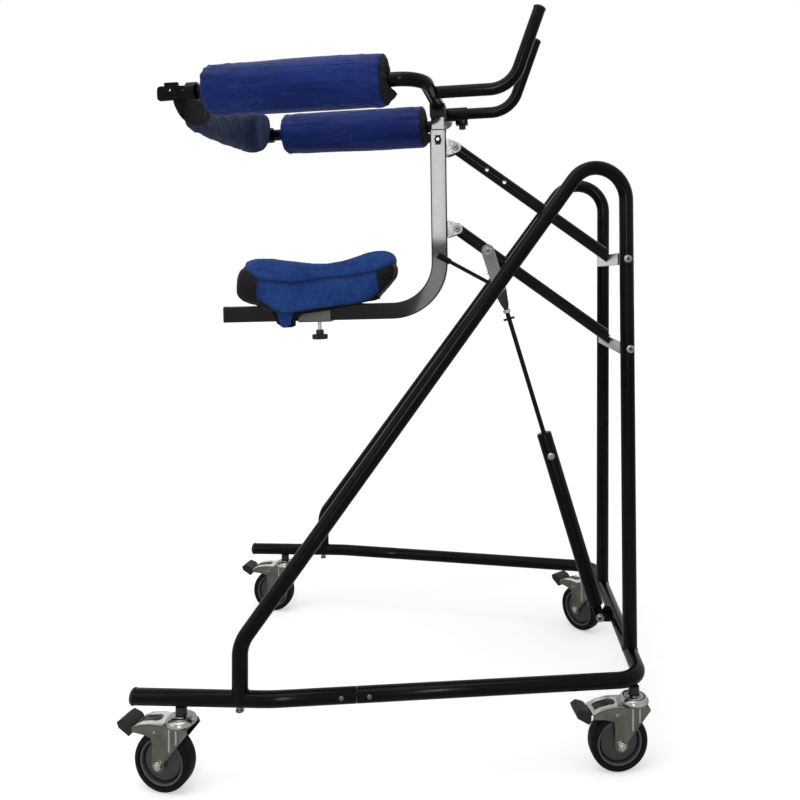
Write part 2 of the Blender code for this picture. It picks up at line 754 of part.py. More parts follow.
def arms():
    for level, front, rear, holes in (
        ("upper", UPPER_FRONT, UPPER_REAR, UPPER_ARM_HOLES),
        ("lower", LOWER_FRONT, LOWER_REAR, LOWER_ARM_HOLES),
    ):
        start = rear - ARM_REAR_OVERHANG * ARM_DIRECTION - front
        web_x = -YOKE_SETBACK - YOKE_PLATE / 2 - TOUCH_GAP
        arm = tube(f"{level}_arm", [start, Vector((0, 0, 0))], ARM_RADIUS, ARM_WALL)
        arm.location = front
        trim = box(
            f"{level}_arm_trim",
            Vector((web_x, -2 * ARM_RADIUS, -4 * ARM_RADIUS)) + front,
            Vector((4 * ARM_RADIUS, 2 * ARM_RADIUS, 4 * ARM_RADIUS)) + front,
        )
        cut(arm, trim)
        reach = Vector((0, 2 * ARM_RADIUS, 0))
        cut(arm, rod(f"{level}_arm_bore", rear - reach, rear + reach, BOLT_RADIUS + PIVOT_GAP, 12))
        if level == "lower":
            cut(arm, rod("lever_bore", LEVER_TOP - reach, LEVER_TOP + reach, BOLT_RADIUS + PIVOT_GAP, 12))
        for index, along in enumerate(holes):
            middle = rear + along * ARM_DIRECTION
            cut(arm, rod(f"{level}_arm_hole_{index}", middle - reach, middle + reach, ARM_HOLE_RADIUS, 10))
        finish(arm, "black_paint")
        yoke(level, front)


def yoke(level, front):
    """The wide bracket on an arm's front end, which turns on the cross bolt between the legs."""
    inner_face = leg_y(front.z + YOKE_END_RADIUS) - TUBE_RADIUS - SLIDE_GAP
    web_rear = -YOKE_SETBACK - YOKE_PLATE / 2
    web_front = web_rear + YOKE_PLATE
    half = YOKE_HEIGHT / 2
    outline = (
        [(web_rear, half), (web_rear, -half)]
        + arc((0, 0), YOKE_END_RADIUS, -math.pi / 2, math.pi / 2, 8)
    )
    name = f"arm_yoke_{level}"
    bracket = plate(name, outline, -inner_face, inner_face)
    bracket.location = bracket.location + front
    inner = inner_face - YOKE_PLATE
    past = 2 * YOKE_END_RADIUS
    hollow = box(
        f"yoke_hollow_{level}",
        front + Vector((web_front, -inner, -past)),
        front + Vector((past, inner, past)),
    )
    bore = rod(
        f"yoke_bore_{level}",
        front - Vector((0, inner_face + YOKE_PLATE, 0)),
        front + Vector((0, inner_face + YOKE_PLATE, 0)),
        BOLT_RADIUS + PIVOT_GAP,
        12,
    )
    cut(bracket, hollow, bore)
    finish(bracket, "zinc")


def column_face_x(height):
    """Where the column's front face lies at a height."""
    return column_point(height).x + COLUMN_HALF / math.cos(COLUMN_LEAN)


def column_point(height):
    """The middle of the column at a height."""
    return Vector((COLUMN_X + (LOWER_REAR.z - height) * math.tan(COLUMN_LEAN), 0, height))


def seat_rail_height(x):
    return SEAT_RAIL_HEIGHT + (x - SEAT_RAIL_REAR_X) * math.tan(SEAT_RAIL_RISE)


def column():
    corner_height = seat_rail_height(COLUMN_X)
    corners = [
        column_point(COLUMN_TOP_HEIGHT),
        column_point(corner_height),
        Vector((SEAT_RAIL_REAR_X, 0, SEAT_RAIL_HEIGHT)),
    ]
    pivot = LOWER_REAR
    points = [point - pivot for point in rounded(corners, COLUMN_BEND_RADIUS, 7)]
    post = square_tube("column", points, COLUMN_HALF, COLUMN_WALL)
    post.location = pivot
    screw = column_point(MAST_SCREW_HEIGHT)
    side = Vector((0, -2 * COLUMN_HALF, 0))
    cut(post, rod("mast_screw_hole", screw, screw + side, MAST_SCREW_RADIUS + SLIDE_GAP))
    tie = column_point(TIE_REAR_HEIGHT) + Vector((TIE_AHEAD, 0, 0))
    cut(post, rod("tie_hole", tie, tie + side, TIE_RADIUS + PIVOT_GAP))
    finish(post, "column_paint")
    for level, rear in (("upper", UPPER_REAR), ("lower", LOWER_REAR)):
        clevis(level, rear)
        face = ARM_RADIUS + SLIDE_GAP + CLEVIS_CHEEK + TOUCH_GAP
        pin = bolt(f"arm_bolt_{level}", rear, face, BOLT_RADIUS, BOLT_HEAD_RADIUS, BOLT_HEAD_THICK)
        finish(pin, "zinc")


def clevis(level, rear):
    """The bracket on the column that an arm's rear end turns in."""
    base_rear = column_face_x(rear.z - CLEVIS_HEIGHT / 2) + TOUCH_GAP
    base_front = base_rear + CLEVIS_BASE
    half = CLEVIS_HEIGHT / 2
    tip = arc((rear.x, rear.z), CLEVIS_TIP_RADIUS, CLEVIS_TIP_TURN, -CLEVIS_TIP_TURN, 6)
    outline = [(base_rear, rear.z - half), (base_rear, rear.z + half), (base_front, rear.z + half)]
    outline = outline + tip + [(base_front, rear.z - half)]
    inner = ARM_RADIUS + SLIDE_GAP
    outer = inner + CLEVIS_CHEEK
    bracket = plate(f"column_bracket_{level}", outline, -outer, outer)
    slot = box(
        f"bracket_slot_{level}",
        (base_front, -inner, rear.z - CLEVIS_HEIGHT),
        (rear.x + 2 * CLEVIS_TIP_RADIUS, inner, rear.z + CLEVIS_HEIGHT),
    )
    reach = Vector((0, 2 * outer, 0))
    bore = rod(f"bracket_bore_{level}", rear - reach, rear + reach, BOLT_RADIUS + TOUCH_GAP, 12)
    cut(bracket, slot, bore)
    finish(bracket, "zinc")


def mast():
    bottom = column_point(COLUMN_TOP_HEIGHT - MAST_INSERTION)
    top = column_point(MAST_TOP_HEIGHT)
    post = square_tube("mast", [bottom, top], MAST_HALF, COLUMN_WALL)
    screw_side = column_point(MAST_SCREW_HEIGHT)
    finish(post, "column_paint")
    column_side = Vector((0, -COLUMN_HALF - TOUCH_GAP, 0))
    mast_side = Vector((0, -MAST_HALF - TOUCH_GAP, 0))
    out = Vector((0, -MAST_SCREW_HEAD_THICK, 0))
    head_start = screw_side + column_side
    screw = rod("mast_screw", screw_side + mast_side, head_start + out / 2, MAST_SCREW_RADIUS, 12)
    weld(screw, rod("mast_screw_head", head_start, head_start + out, MAST_SCREW_HEAD * math.sqrt(2), 4))
    finish(screw, "black_plastic")


def head_frame():
    """The frame of everything on top of the mast, turned and tilted a little as a whole."""
    return add("head_frame", None, column_point(HEAD_HEIGHT), HEAD_TURN)


def head_block(head):
    low = MAST_TOP_HEIGHT - HEAD_HEIGHT + HEAD_BLOCK_LIFT
    half = HEAD_BLOCK_HALF
    block = box("head_block", (-half, -half, low), (half, half, 0), head)
    saddle = rod(
        "head_block_saddle",
        (0, -2 * half, 0),
        (0, 2 * half, 0),
        TUBE_RADIUS + TOUCH_GAP,
        24,
        parent=head,
    )
    cut(block, saddle)
    finish(block, "black_plastic")


def handle_points(start_x, sign):
    corner = Vector((HANDLE_REACH_RIGHT if sign < 0 else HANDLE_REACH_LEFT, sign * HANDLE_Y, 0))
    rise = Vector((math.tan(HANDLE_LEAN), 0, 1)) * HANDLE_RISE
    corners = [Vector((start_x, sign * HANDLE_Y, 0)), corner, corner + rise]
    return rounded(corners, HANDLE_BEND_RADIUS, 6)


def trunk_bar(head):
    """The ring tube, with the right handlebar, the left handlebar's socket and its clamp welded on."""
    rear = -TRUNK_BAR_LENGTH
    corners = [
        (rear, -TRUNK_BAR_Y, 0),
        (0, -TRUNK_BAR_Y, 0),
        (0, TRUNK_BAR_Y, 0),
        (rear, TRUNK_BAR_Y, 0),
    ]
    ring = tube("trunk_bar", rounded(corners, TRUNK_BEND_RADIUS, 6), TUBE_RADIUS, TUBE_WALL, parent=head)
    cope_radius = TUBE_RADIUS - TUBE_WALL / 2
    for side, sign in (("right", -1), ("left", 1)):
        reach = sign * HANDLE_Y
        cope = rod(
            f"ring_cope_{side}",
            (0, reach - 3 * TUBE_RADIUS, 0),
            (0, reach + 3 * TUBE_RADIUS, 0),
            cope_radius,
            24,
            parent=head,
        )
        if side == "right":
            joined = tube("handlebar_right", handle_points(0, sign), HANDLE_RADIUS, HANDLE_WALL, parent=head)
        else:
            ends = [(0, reach, 0), (SOCKET_FRONT, reach, 0)]
            joined = tube("handle_socket", ends, SOCKET_RADIUS, SOCKET_WALL, parent=head)
        cut(joined, cope)
        weld(ring, joined)
    clamp_top = -SOCKET_RADIUS + SOCKET_WALL / 2
    clamp_bottom = -SOCKET_RADIUS - CLAMP_DROP
    clamp = box(
        "handle_clamp",
        (CLAMP_REAR, HANDLE_Y - CLAMP_HALF_WIDTH, clamp_bottom),
        (SOCKET_FRONT, HANDLE_Y + CLAMP_HALF_WIDTH, clamp_top),
        head,
    )
    thread = rod(
        "handle_clamp_bore",
        (KNOB_X, HANDLE_Y, clamp_bottom - CLAMP_DROP),
        (KNOB_X, HANDLE_Y, -HANDLE_RADIUS),
        BOLT_RADIUS + SLIDE_GAP,
        parent=head,
    )
    weld(ring, clamp)
    cut(ring, thread)
    finish(ring, "black_paint")


def handlebar_left(head):
    start_x = TUBE_RADIUS + SLIDE_GAP
    handle = tube("handlebar_left", handle_points(start_x, 1), HANDLE_RADIUS, HANDLE_WALL, parent=head)
    finish(handle, "black_paint")
    top = -HANDLE_RADIUS - TOUCH_GAP
    face = -SOCKET_RADIUS - CLAMP_DROP - TOUCH_GAP
    profile = [
        (0, top),
        (BOLT_RADIUS, top),
        (BOLT_RADIUS, face),
        (KNOB_RADIUS, face),
        (KNOB_RADIUS, face - KNOB_HEIGHT),
        (0, face - KNOB_HEIGHT),
    ]
    knob = turned("handle_knob", profile, 16, (KNOB_X, HANDLE_Y, 0), parent=head)
    finish(knob, "black_plastic")


def bar_extensions(head):
    """The thinner tubes that slide in the ring's rear ends and carry the back strap."""
    inner = -TRUNK_BAR_LENGTH + EXTENSION_INSERTION
    outer = -TRUNK_BAR_LENGTH - EXTENSION_OUT
    fitting = outer + END_FITTING_LENGTH
    for side, sign in (("right", -1), ("left", 1)):
        y = sign * TRUNK_BAR_Y
        inside = fitting - END_FITTING_HALF_HEIGHT / 2
        extension = rod(f"bar_extension_{side}", (inside, y, 0), (inner, y, 0), EXTENSION_RADIUS, 12, parent=head)
        outline = link_outline(
            (outer + END_FITTING_HALF_HEIGHT, 0),
            (fitting, 0),
            END_FITTING_HALF_HEIGHT,
            EXTENSION_RADIUS,
        )
        half = END_FITTING_HALF_WIDTH
        blade = plate(f"end_fitting_{side}", outline, y - half, y + half, head)
        weld(extension, blade)
        for index in range(2):
            x = outer + END_FITTING_HALF_HEIGHT + index * END_HOLE_SPACING
            reach = 2 * EXTENSION_RADIUS
            hole = rod(
                f"end_hole_{side}_{index}",
                (x, y - reach, 0),
                (x, y + reach, 0),
                END_HOLE_RADIUS,
                8,
                parent=head,
            )
            cut(extension, hole)
        finish(extension, "black_paint")


def trunk_pads(head):
    """The two foam rolls, drawn in at their ends, with a bore for the ring tube."""
    bore = TUBE_RADIUS + TOUCH_GAP
    ends = [(PAD_RADIUS_FRONT, PAD_LENGTH), (PAD_RADIUS_REAR, 0)]
    profile = [(bore, PAD_LENGTH)]
    corner_steps = 4
    for step in range(corner_steps + 1):
        turn = math.pi / 2 * step / corner_steps
        radius, height = ends[0]
        profile.append((radius - PAD_EDGE * (1 - math.sin(turn)), height - PAD_EDGE * (1 - math.cos(turn))))
    for share in (0.75, 0.5, 0.25):
        radius = PAD_RADIUS_REAR + (PAD_RADIUS_FRONT - PAD_RADIUS_REAR) * share
        profile.append((radius - PAD_SWELL * math.cos(share * math.tau * 2), PAD_LENGTH * share))
    for step in range(corner_steps + 1):
        turn = math.pi / 2 * (1 - step / corner_steps)
        radius, height = ends[1]
        profile.append((radius - PAD_EDGE * (1 - math.sin(turn)), height + PAD_EDGE * (1 - math.cos(turn))))
    profile.append((bore, 0))
    profile.append((bore, PAD_LENGTH))
    for side, sign, front in (("right", -1, PAD_FRONT_RIGHT), ("left", 1, PAD_FRONT_LEFT)):
        pad = turned(
            f"trunk_pad_{side}",
            profile,
            PAD_STEPS,
            (-front - PAD_LENGTH, sign * TRUNK_BAR_Y, 0),
            (0, math.pi / 2, 0),
            head,
        )
        finish(pad, "blue_cover", math.radians(60))


def back_strap(head):
    """The padded strap behind the user, from the right bar across and along the left one."""
    near = TRUNK_BAR_Y - END_FITTING_HALF_WIDTH - STRAP_HALF_THICK - 2 * TOUCH_GAP
    far = TRUNK_BAR_Y - TUBE_RADIUS - STRAP_HALF_THICK - 2 * TOUCH_GAP - STRAP_FOLD
    cross = -STRAP_CROSS_X
    corners = [
        (cross + STRAP_FOLD, -near + STRAP_FOLD, 0),
        (cross, 0, 0),
        (cross, far, 0),
        (-STRAP_FRONT_X, far, 0),
    ]
    points = rounded(corners, (STRAP_BOW_RADIUS, STRAP_BEND_RADIUS), 5)
    lengths = [0]
    for first, second in zip(points, points[1:]):
        lengths.append(lengths[-1] + (second - first).length)
    whole = lengths[-1]
    sections = []
    for index in range(STRAP_STATIONS + 1):
        share = index / STRAP_STATIONS
        place, heading = along_path(points, lengths, share * whole)
        across = heading.cross(Vector((0, 0, 1))).normalized()
        ends = min(1, share / STRAP_TAPER, (1 - share) / STRAP_FRONT_TAPER)
        shrink = math.sqrt(1 - (1 - ends) ** 2)
        height = STRAP_HALF_HEIGHT * (STRAP_END_SHARE + (1 - STRAP_END_SHARE) * shrink)
        drop = -STRAP_DROOP * math.sin(math.pi * share) * min(1, share / STRAP_TAPER)
        fold = STRAP_FOLD * math.sin(share * STRAP_FOLD_TURN) * ends
        ring = []
        for step in range(STRAP_SIDES):
            turn = math.tau * (step + 0.5) / STRAP_SIDES
            upright = math.copysign(abs(math.sin(turn)) ** STRAP_EDGE_POWER, math.sin(turn))
            lean = math.copysign(abs(math.cos(turn)) ** STRAP_FACE_POWER, math.cos(turn))
            bulge = fold * upright
            ring.append(
                place
                + across * (lean * STRAP_HALF_THICK + bulge)
                + Vector((0, 0, drop + height * upright))
            )
        sections.append(ring)
    strap = loft("back_strap", sections, parent=head)
    finish(strap, "blue_cover", math.radians(60))


def along_path(points, lengths, distance):
    """The place and heading at a distance along a path of straight steps."""
    for index in range(len(points) - 1):
        if distance <= lengths[index + 1] or index == len(points) - 2:
            step = points[index + 1] - points[index]
            share = (distance - lengths[index]) / step.length
            return points[index] + step * share, step.normalized()


def seat():
    rise = SEAT_RAIL_RISE
    half = COLUMN_HALF + SLIDE_GAP
    outer = half + SLEEVE_WALL
    start = Vector((SLEEVE_REAR_X, 0, seat_rail_height(SLEEVE_REAR_X)))
    heading = Vector((math.cos(rise), 0, math.sin(rise)))
    sleeve = square_tube("seat_sleeve", [start, start + SLEEVE_LENGTH * heading], outer, SLEEVE_WALL)
    knob = Vector((SEAT_KNOB_X, 0, seat_rail_height(SEAT_KNOB_X)))
    down = Vector((math.sin(rise), 0, -math.cos(rise)))
    bore = rod("sleeve_bore", knob, knob + 2 * outer * down, SEAT_KNOB_STUD_RADIUS + SLIDE_GAP, 12)
    cut(sleeve, bore)
    finish(sleeve, "black_paint")
    top = -COLUMN_HALF - TOUCH_GAP
    hub_top = -outer - SEAT_KNOB_STUD_LENGTH
    flange_top = hub_top - SEAT_KNOB_HUB_HEIGHT
    flange_bottom = flange_top - SEAT_KNOB_FLANGE_HEIGHT
    profile = [
        (0, top),
        (SEAT_KNOB_STUD_RADIUS, top),
        (SEAT_KNOB_STUD_RADIUS, hub_top),
        (SEAT_KNOB_HUB_RADIUS, hub_top),
        (SEAT_KNOB_HUB_RADIUS, flange_top),
        (SEAT_KNOB_FLANGE_RADIUS, flange_top),
        (SEAT_KNOB_FLANGE_RADIUS, flange_bottom),
        (0, flange_bottom),
    ]
    clamp = turned("seat_knob", profile, 20, knob, (0, -rise, 0))
    finish(clamp, "black_plastic")
    saddle(outer)


SADDLE_STATIONS = (
    # share of the length, crown, half width, lower edge and how far that edge lies forward of the
    # crown. The heights are above the seat rail's top face. All but the width are shares of
    # SADDLE_HEIGHT, and the width is a share of SADDLE_HALF_WIDTH
    (0.00, 0.598, 0.40, 0.205, 0.120),
    (0.04, 0.855, 0.62, 0.103, 0.085),
    (0.12, 0.932, 0.86, -0.009, 0.034),
    (0.26, 0.880, 0.98, -0.137, 0.000),
    (0.38, 0.786, 0.96, -0.171, 0.000),
    (0.52, 0.744, 0.80, -0.068, 0.000),
    (0.66, 0.795, 0.66, -0.017, 0.000),
    (0.78, 0.932, 0.62, 0.017, -0.034),
    (0.90, 1.000, 0.60, 0.043, -0.137),
    (0.97, 0.923, 0.52, 0.085, -0.256),
    (1.00, 0.718, 0.38, 0.154, -0.308),
)

SADDLE_PROFILE = (
    # share of the half width, and rise above the crown or the lower edge as a share of SADDLE_HEIGHT
    (0.45, -0.034),
    (0.82, -0.171),
    (0.96, 0.085),
    (0.86, 0.0),
    (0.62, 0.017),
)
SADDLE_SIDE_RISE = 0.051


def saddle(sleeve_half):
    """The saddle cushion: a crown that dips in the middle, drawn-in sides and a slot for the rail."""
    sections = []
    bottom = sleeve_half + SADDLE_GAP
    inner = sleeve_half + SADDLE_SKIRT / 2
    for share, top, width, edge, lean in SADDLE_STATIONS:
        x = SADDLE_REAR_X + SADDLE_LENGTH * share
        base = seat_rail_height(x)
        half = SADDLE_HALF_WIDTH * width
        crown = base + COLUMN_HALF + top * SADDLE_HEIGHT
        low = base + COLUMN_HALF + edge * SADDLE_HEIGHT
        floor = max(base + bottom, low)
        upper = [(half * part, crown + rise * SADDLE_HEIGHT) for part, rise in SADDLE_PROFILE[:2]]
        lower = [(half * part, low + rise * SADDLE_HEIGHT) for part, rise in SADDLE_PROFILE[2:]]
        lower[-1] = (max(inner, lower[-1][0]), lower[-1][1])
        side = (half, (crown + low) / 2 + SADDLE_SIDE_RISE * SADDLE_HEIGHT)
        slot = [(inner, floor + SADDLE_SLOT_CORNER), (0, floor)]
        profile = [(0, crown)] + upper + [side] + lower + slot
        right = []
        for y, z in profile:
            depth = (crown - z) / (crown - low)
            right.append(Vector((x + lean * SADDLE_HEIGHT * depth**2, -y, z)))
        left = [Vector((point.x, -point.y, point.z)) for point in right[1:-1]]
        sections.append(right + left[::-1])
    cushion = loft("saddle", sections)
    soft = cushion.modifiers.new("soft", "SUBSURF")
    soft.levels = 1
    soft.render_levels = 1
    finish(cushion, "saddle_cloth", math.radians(60))


def lever():
    """Two grey plates joined by a web along their rear edge, with the tie rod's pin across them."""
    outer = LEVER_INNER_HALF + LEVER_PLATE
    top = (LEVER_TOP.x, LEVER_TOP.z)
    end = (LEVER_END.x, LEVER_END.z)
    body = plate("lever", link_outline(top, end, LEVER_HALF_WIDTH + 0.001, LEVER_HALF_WIDTH), -outer, outer)
    past = LEVER_LENGTH + LEVER_PAST
    gap = lever_box("lever_gap", -LEVER_HALF_WIDTH + LEVER_PLATE, 4 * LEVER_HALF_WIDTH, -LEVER_PAST, past)
    opening = lever_box("lever_opening", -4 * LEVER_HALF_WIDTH, 0, -LEVER_PAST, LEVER_WEB_START)
    foot = lever_box("lever_foot", -4 * LEVER_HALF_WIDTH, 0, LEVER_WEB_END, past)
    reach = Vector((0, 2 * outer, 0))
    bore = rod("lever_top_bore", LEVER_TOP - reach, LEVER_TOP + reach, BOLT_RADIUS + PIVOT_GAP, 12)
    cut(body, gap, opening, foot, bore)
    pin_reach = Vector((0, outer, 0))
    weld(body, rod("tie_pin", LEVER_TIE - pin_reach, LEVER_TIE + pin_reach, LEVER_PIN_RADIUS, 10))
    finish(body, "lever_steel")
    pin = bolt("lever_bolt", LEVER_TOP, outer + TOUCH_GAP, BOLT_RADIUS, BOLT_HEAD_RADIUS, BOLT_HEAD_THICK)
    finish(pin, "zinc")


def lever_box(name, rear, front, start, end):
    """A cutter between the lever's plates, from start to end below its pivot."""
    cutter = box(name, (rear, -LEVER_INNER_HALF, -end), (front, LEVER_INNER_HALF, -start))
    cutter.location = LEVER_TOP
    cutter.rotation_euler = (0, -LEVER_SLOPE, 0)
    return cutter


def tie_rod():
    side_y = -COLUMN_HALF - TIE_SIDE_GAP - TIE_SLEEVE_RADIUS
    rear = column_point(TIE_REAR_HEIGHT) + Vector((TIE_AHEAD, side_y, 0))
    eye = LEVER_TIE
    heading = (eye - rear).normalized()
    front = eye - heading * (TIE_EYE_RADIUS - TIE_EYE_LAP)
    stub = rod("tie_rod", rear, rear + Vector((0, TIE_STUB_LENGTH, 0)), TIE_RADIUS, 12)
    shank = rod("tie_shank", rear, front, TIE_RADIUS, 12)
    sleeve = rod(
        "tie_sleeve",
        rear - heading * TIE_SLEEVE_RADIUS,
        rear + heading * TIE_SLEEVE_LENGTH,
        TIE_SLEEVE_RADIUS,
        12,
    )
    half = Vector((0, TIE_RADIUS, 0))
    ring = rod("tie_eye", eye - half, eye + half, TIE_EYE_RADIUS, 16)
    bore = rod("tie_eye_bore", eye - 3 * half, eye + 3 * half, LEVER_PIN_RADIUS + LEVER_PIN_PLAY, 12)
    weld(stub, sleeve, shank, ring)
    cut(stub, bore)
    finish(stub, "black_paint")


def spring_point(distance):
    """A point on the spring strut, measured up from its foot."""
    return SPRING_FOOT + distance * SPRING_DIRECTION


def spring_strut():
    bore = SPRING_TUBE_RADIUS * math.cos(math.pi / 16) - SPRING_TUBE_WALL
    tube_bottom = spring_point(SPRING_TUBE_START)
    tube_top = spring_point(SPRING_TUBE_END)
    shell = rod("spring_tube", tube_bottom, tube_top, SPRING_TUBE_RADIUS, 16)
    inside_top = spring_point(SPRING_TUBE_END - SPRING_TUBE_CAP)
    inside_bottom = spring_point(SPRING_TUBE_START + SPRING_TUBE_CAP)
    hollow = rod("spring_hollow", inside_bottom, inside_top, SPRING_TUBE_RADIUS - SPRING_TUBE_WALL, 16)
    mouth = rod(
        "spring_mouth",
        spring_point(SPRING_TUBE_END - 2 * SPRING_TUBE_CAP),
        spring_point(SPRING_TUBE_END + SPRING_TUBE_CAP),
        SPRING_ROD_RADIUS + SLIDE_GAP,
    )
    cut(shell, hollow, mouth)
    foot = (SPRING_FOOT.x, SPRING_FOOT.z)
    seat_place = spring_point(SPRING_TUBE_START + SPRING_CHEEK_RADIUS / 4)
    outline = link_outline((seat_place.x, seat_place.z), foot, SPRING_CHEEK_RADIUS, SPRING_CHEEK_RADIUS)
    inner = SPRING_LUG_HALF + SLIDE_GAP
    outer = inner + SPRING_CHEEK
    cheeks = plate("spring_cheeks", outline, -outer, outer)
    weld(shell, cheeks)
    reach = Vector((0, 2 * outer, 0))
    eye = rod("spring_foot_bore", SPRING_FOOT - reach, SPRING_FOOT + reach, SPRING_STUD_RADIUS + PIVOT_GAP)
    cut(shell, fork_gap(inner), eye)
    finish(shell, "black_paint")
    spring_rod(bore)
    spring(bore)


def fork_gap(half):
    """The space for the lug between the two cheeks at the strut's foot."""
    turn = math.atan2(SPRING_DIRECTION.x, SPRING_DIRECTION.z)
    width = 2 * SPRING_TUBE_RADIUS
    cutter = box("spring_foot_gap", (-width, -half, -width), (width, half, SPRING_TUBE_START))
    cutter.location = SPRING_FOOT
    cutter.rotation_euler = (0, turn, 0)
    return cutter


def piston_top():
    """How far up the strut the top of the piston lies."""
    return SPRING_TUBE_END - SPRING_ROD_INSERTION


def spring_rod(bore):
    top = spring_point(SPRING_SPAN)
    piston_start = spring_point(piston_top() - PISTON_LENGTH)
    piston_end = spring_point(piston_top())
    shaft = rod("spring_rod", piston_start, top, SPRING_ROD_RADIUS, 12)
    piston = rod("spring_piston", piston_start, piston_end, bore - SLIDE_GAP)
    reach = Vector((0, SPRING_ROD_CROSS_HALF, 0))
    cross = rod("spring_rod_cross", top - reach, top + reach, SPRING_ROD_RADIUS * 1.1, 12)
    weld(shaft, piston, cross)
    finish(shaft, "black_paint")


def spring(bore):
    """The coil between the strut's floor and the piston."""
    floor = SPRING_TUBE_START + SPRING_TUBE_CAP + SPRING_WIRE_RADIUS + TOUCH_GAP
    top = piston_top() - PISTON_LENGTH - SPRING_WIRE_RADIUS - TOUCH_GAP
    coil_radius = bore - SLIDE_GAP - SPRING_WIRE_RADIUS
    count = SPRING_TURNS * SPRING_POINTS_PER_TURN
    length = top - floor
    pitch = length / SPRING_TURNS
    points = []
    for index in range(count + 1):
        turn = math.tau * index / SPRING_POINTS_PER_TURN
        points.append(
            Vector((coil_radius * math.cos(turn), coil_radius * math.sin(turn), length * index / count))
        )
    curve = path("spring", points)
    curve.data.bevel_depth = SPRING_WIRE_RADIUS
    curve.data.bevel_resolution = 1
    curve.data.use_fill_caps = True
    coil = as_mesh(curve)
    coil.location = spring_point(floor)
    coil.rotation_euler = (0, math.atan2(SPRING_DIRECTION.x, SPRING_DIRECTION.z), 0)
    finish(coil, "zinc", math.radians(80))
    print(f"least gap between the spring's turns: {(pitch - 2 * SPRING_WIRE_RADIUS) * 1000:.2f} mm")


def fork_outline():
    """The side of a caster fork in the caster's own XZ plane."""
    axle = (-CASTER_TRAIL, WHEEL_RADIUS)
    shelf_top = FORK_TOP_HEIGHT - FORK_SHELF_DROP
    front = [
        (FORK_FRONT_REACH, FORK_TOP_HEIGHT - FORK_CHAMFER_DROP),
        (FORK_FRONT_REACH - FORK_CHAMFER_RUN, FORK_TOP_HEIGHT),
    ]
    rear = [
        (-FORK_DECK_REACH, FORK_TOP_HEIGHT),
        (-FORK_SLOPE_REACH, FORK_TOP_HEIGHT - FORK_SHELF_DROP * FORK_SLOPE_SHARE),
        (-FORK_SHELF_REACH, shelf_top),
        (-FORK_SHELF_REACH, FORK_SHELF_BOTTOM),
        (-FORK_FLARE_REACH, FORK_SHELF_BOTTOM - FORK_FLARE_DROP),
        (-FORK_WAIST_REACH, FORK_SHELF_BOTTOM - FORK_WAIST_DROP),
        (axle[0] - FORK_TIP_RADIUS, FORK_SHELF_BOTTOM - FORK_LEG_DROP),
    ]
    tip = arc(axle, FORK_TIP_RADIUS, -math.pi, FORK_TIP_TURN, 7)
    return front + rear + tip


def caster(name, sign, rear, angle):
    x = REAR_STEM_X if rear else FRONT_STEM_X
    y = sign * (RAIL_REAR_Y if rear else FRONT_STEM_Y)
    swivel = add(f"swivel_{name}", None, (x, y, 0), (0, 0, angle))
    caster_stem(name, swivel)
    caster_fork(name, swivel)
    caster_wheel(name, swivel)
    caster_pedal(name, swivel)


def caster_stem(name, swivel):
    """The stem with its collar and the top half of the swivel bearing, fixed to the frame."""
    collar_top = RAIL_HEIGHT - TUBE_RADIUS - TOUCH_GAP
    profile = [
        (0, STEM_TOP_HEIGHT),
        (STEM_RADIUS, STEM_TOP_HEIGHT),
        (STEM_RADIUS, collar_top),
        (COLLAR_RADIUS, collar_top),
        (COLLAR_RADIUS, RACE_TOP_HEIGHT),
        (RACE_CROWN_RADIUS, RACE_TOP_HEIGHT - RACE_CROWN_DROP),
        (RACE_RADIUS - RACE_RIM_INSET, RACE_EDGE_HEIGHT + RACE_RIM_RISE),
        (RACE_RADIUS, RACE_EDGE_HEIGHT),
        (RACE_RADIUS, RACE_BOTTOM_HEIGHT + SLIDE_GAP),
        (STEM_RADIUS, RACE_BOTTOM_HEIGHT + SLIDE_GAP),
        (STEM_RADIUS, FORK_TOP_HEIGHT - FORK_PLATE - STEM_FOOT_DROP),
        (0, FORK_TOP_HEIGHT - FORK_PLATE - STEM_FOOT_DROP),
    ]
    finish(turned(f"stem_{name}", profile, 20, parent=swivel), "zinc")


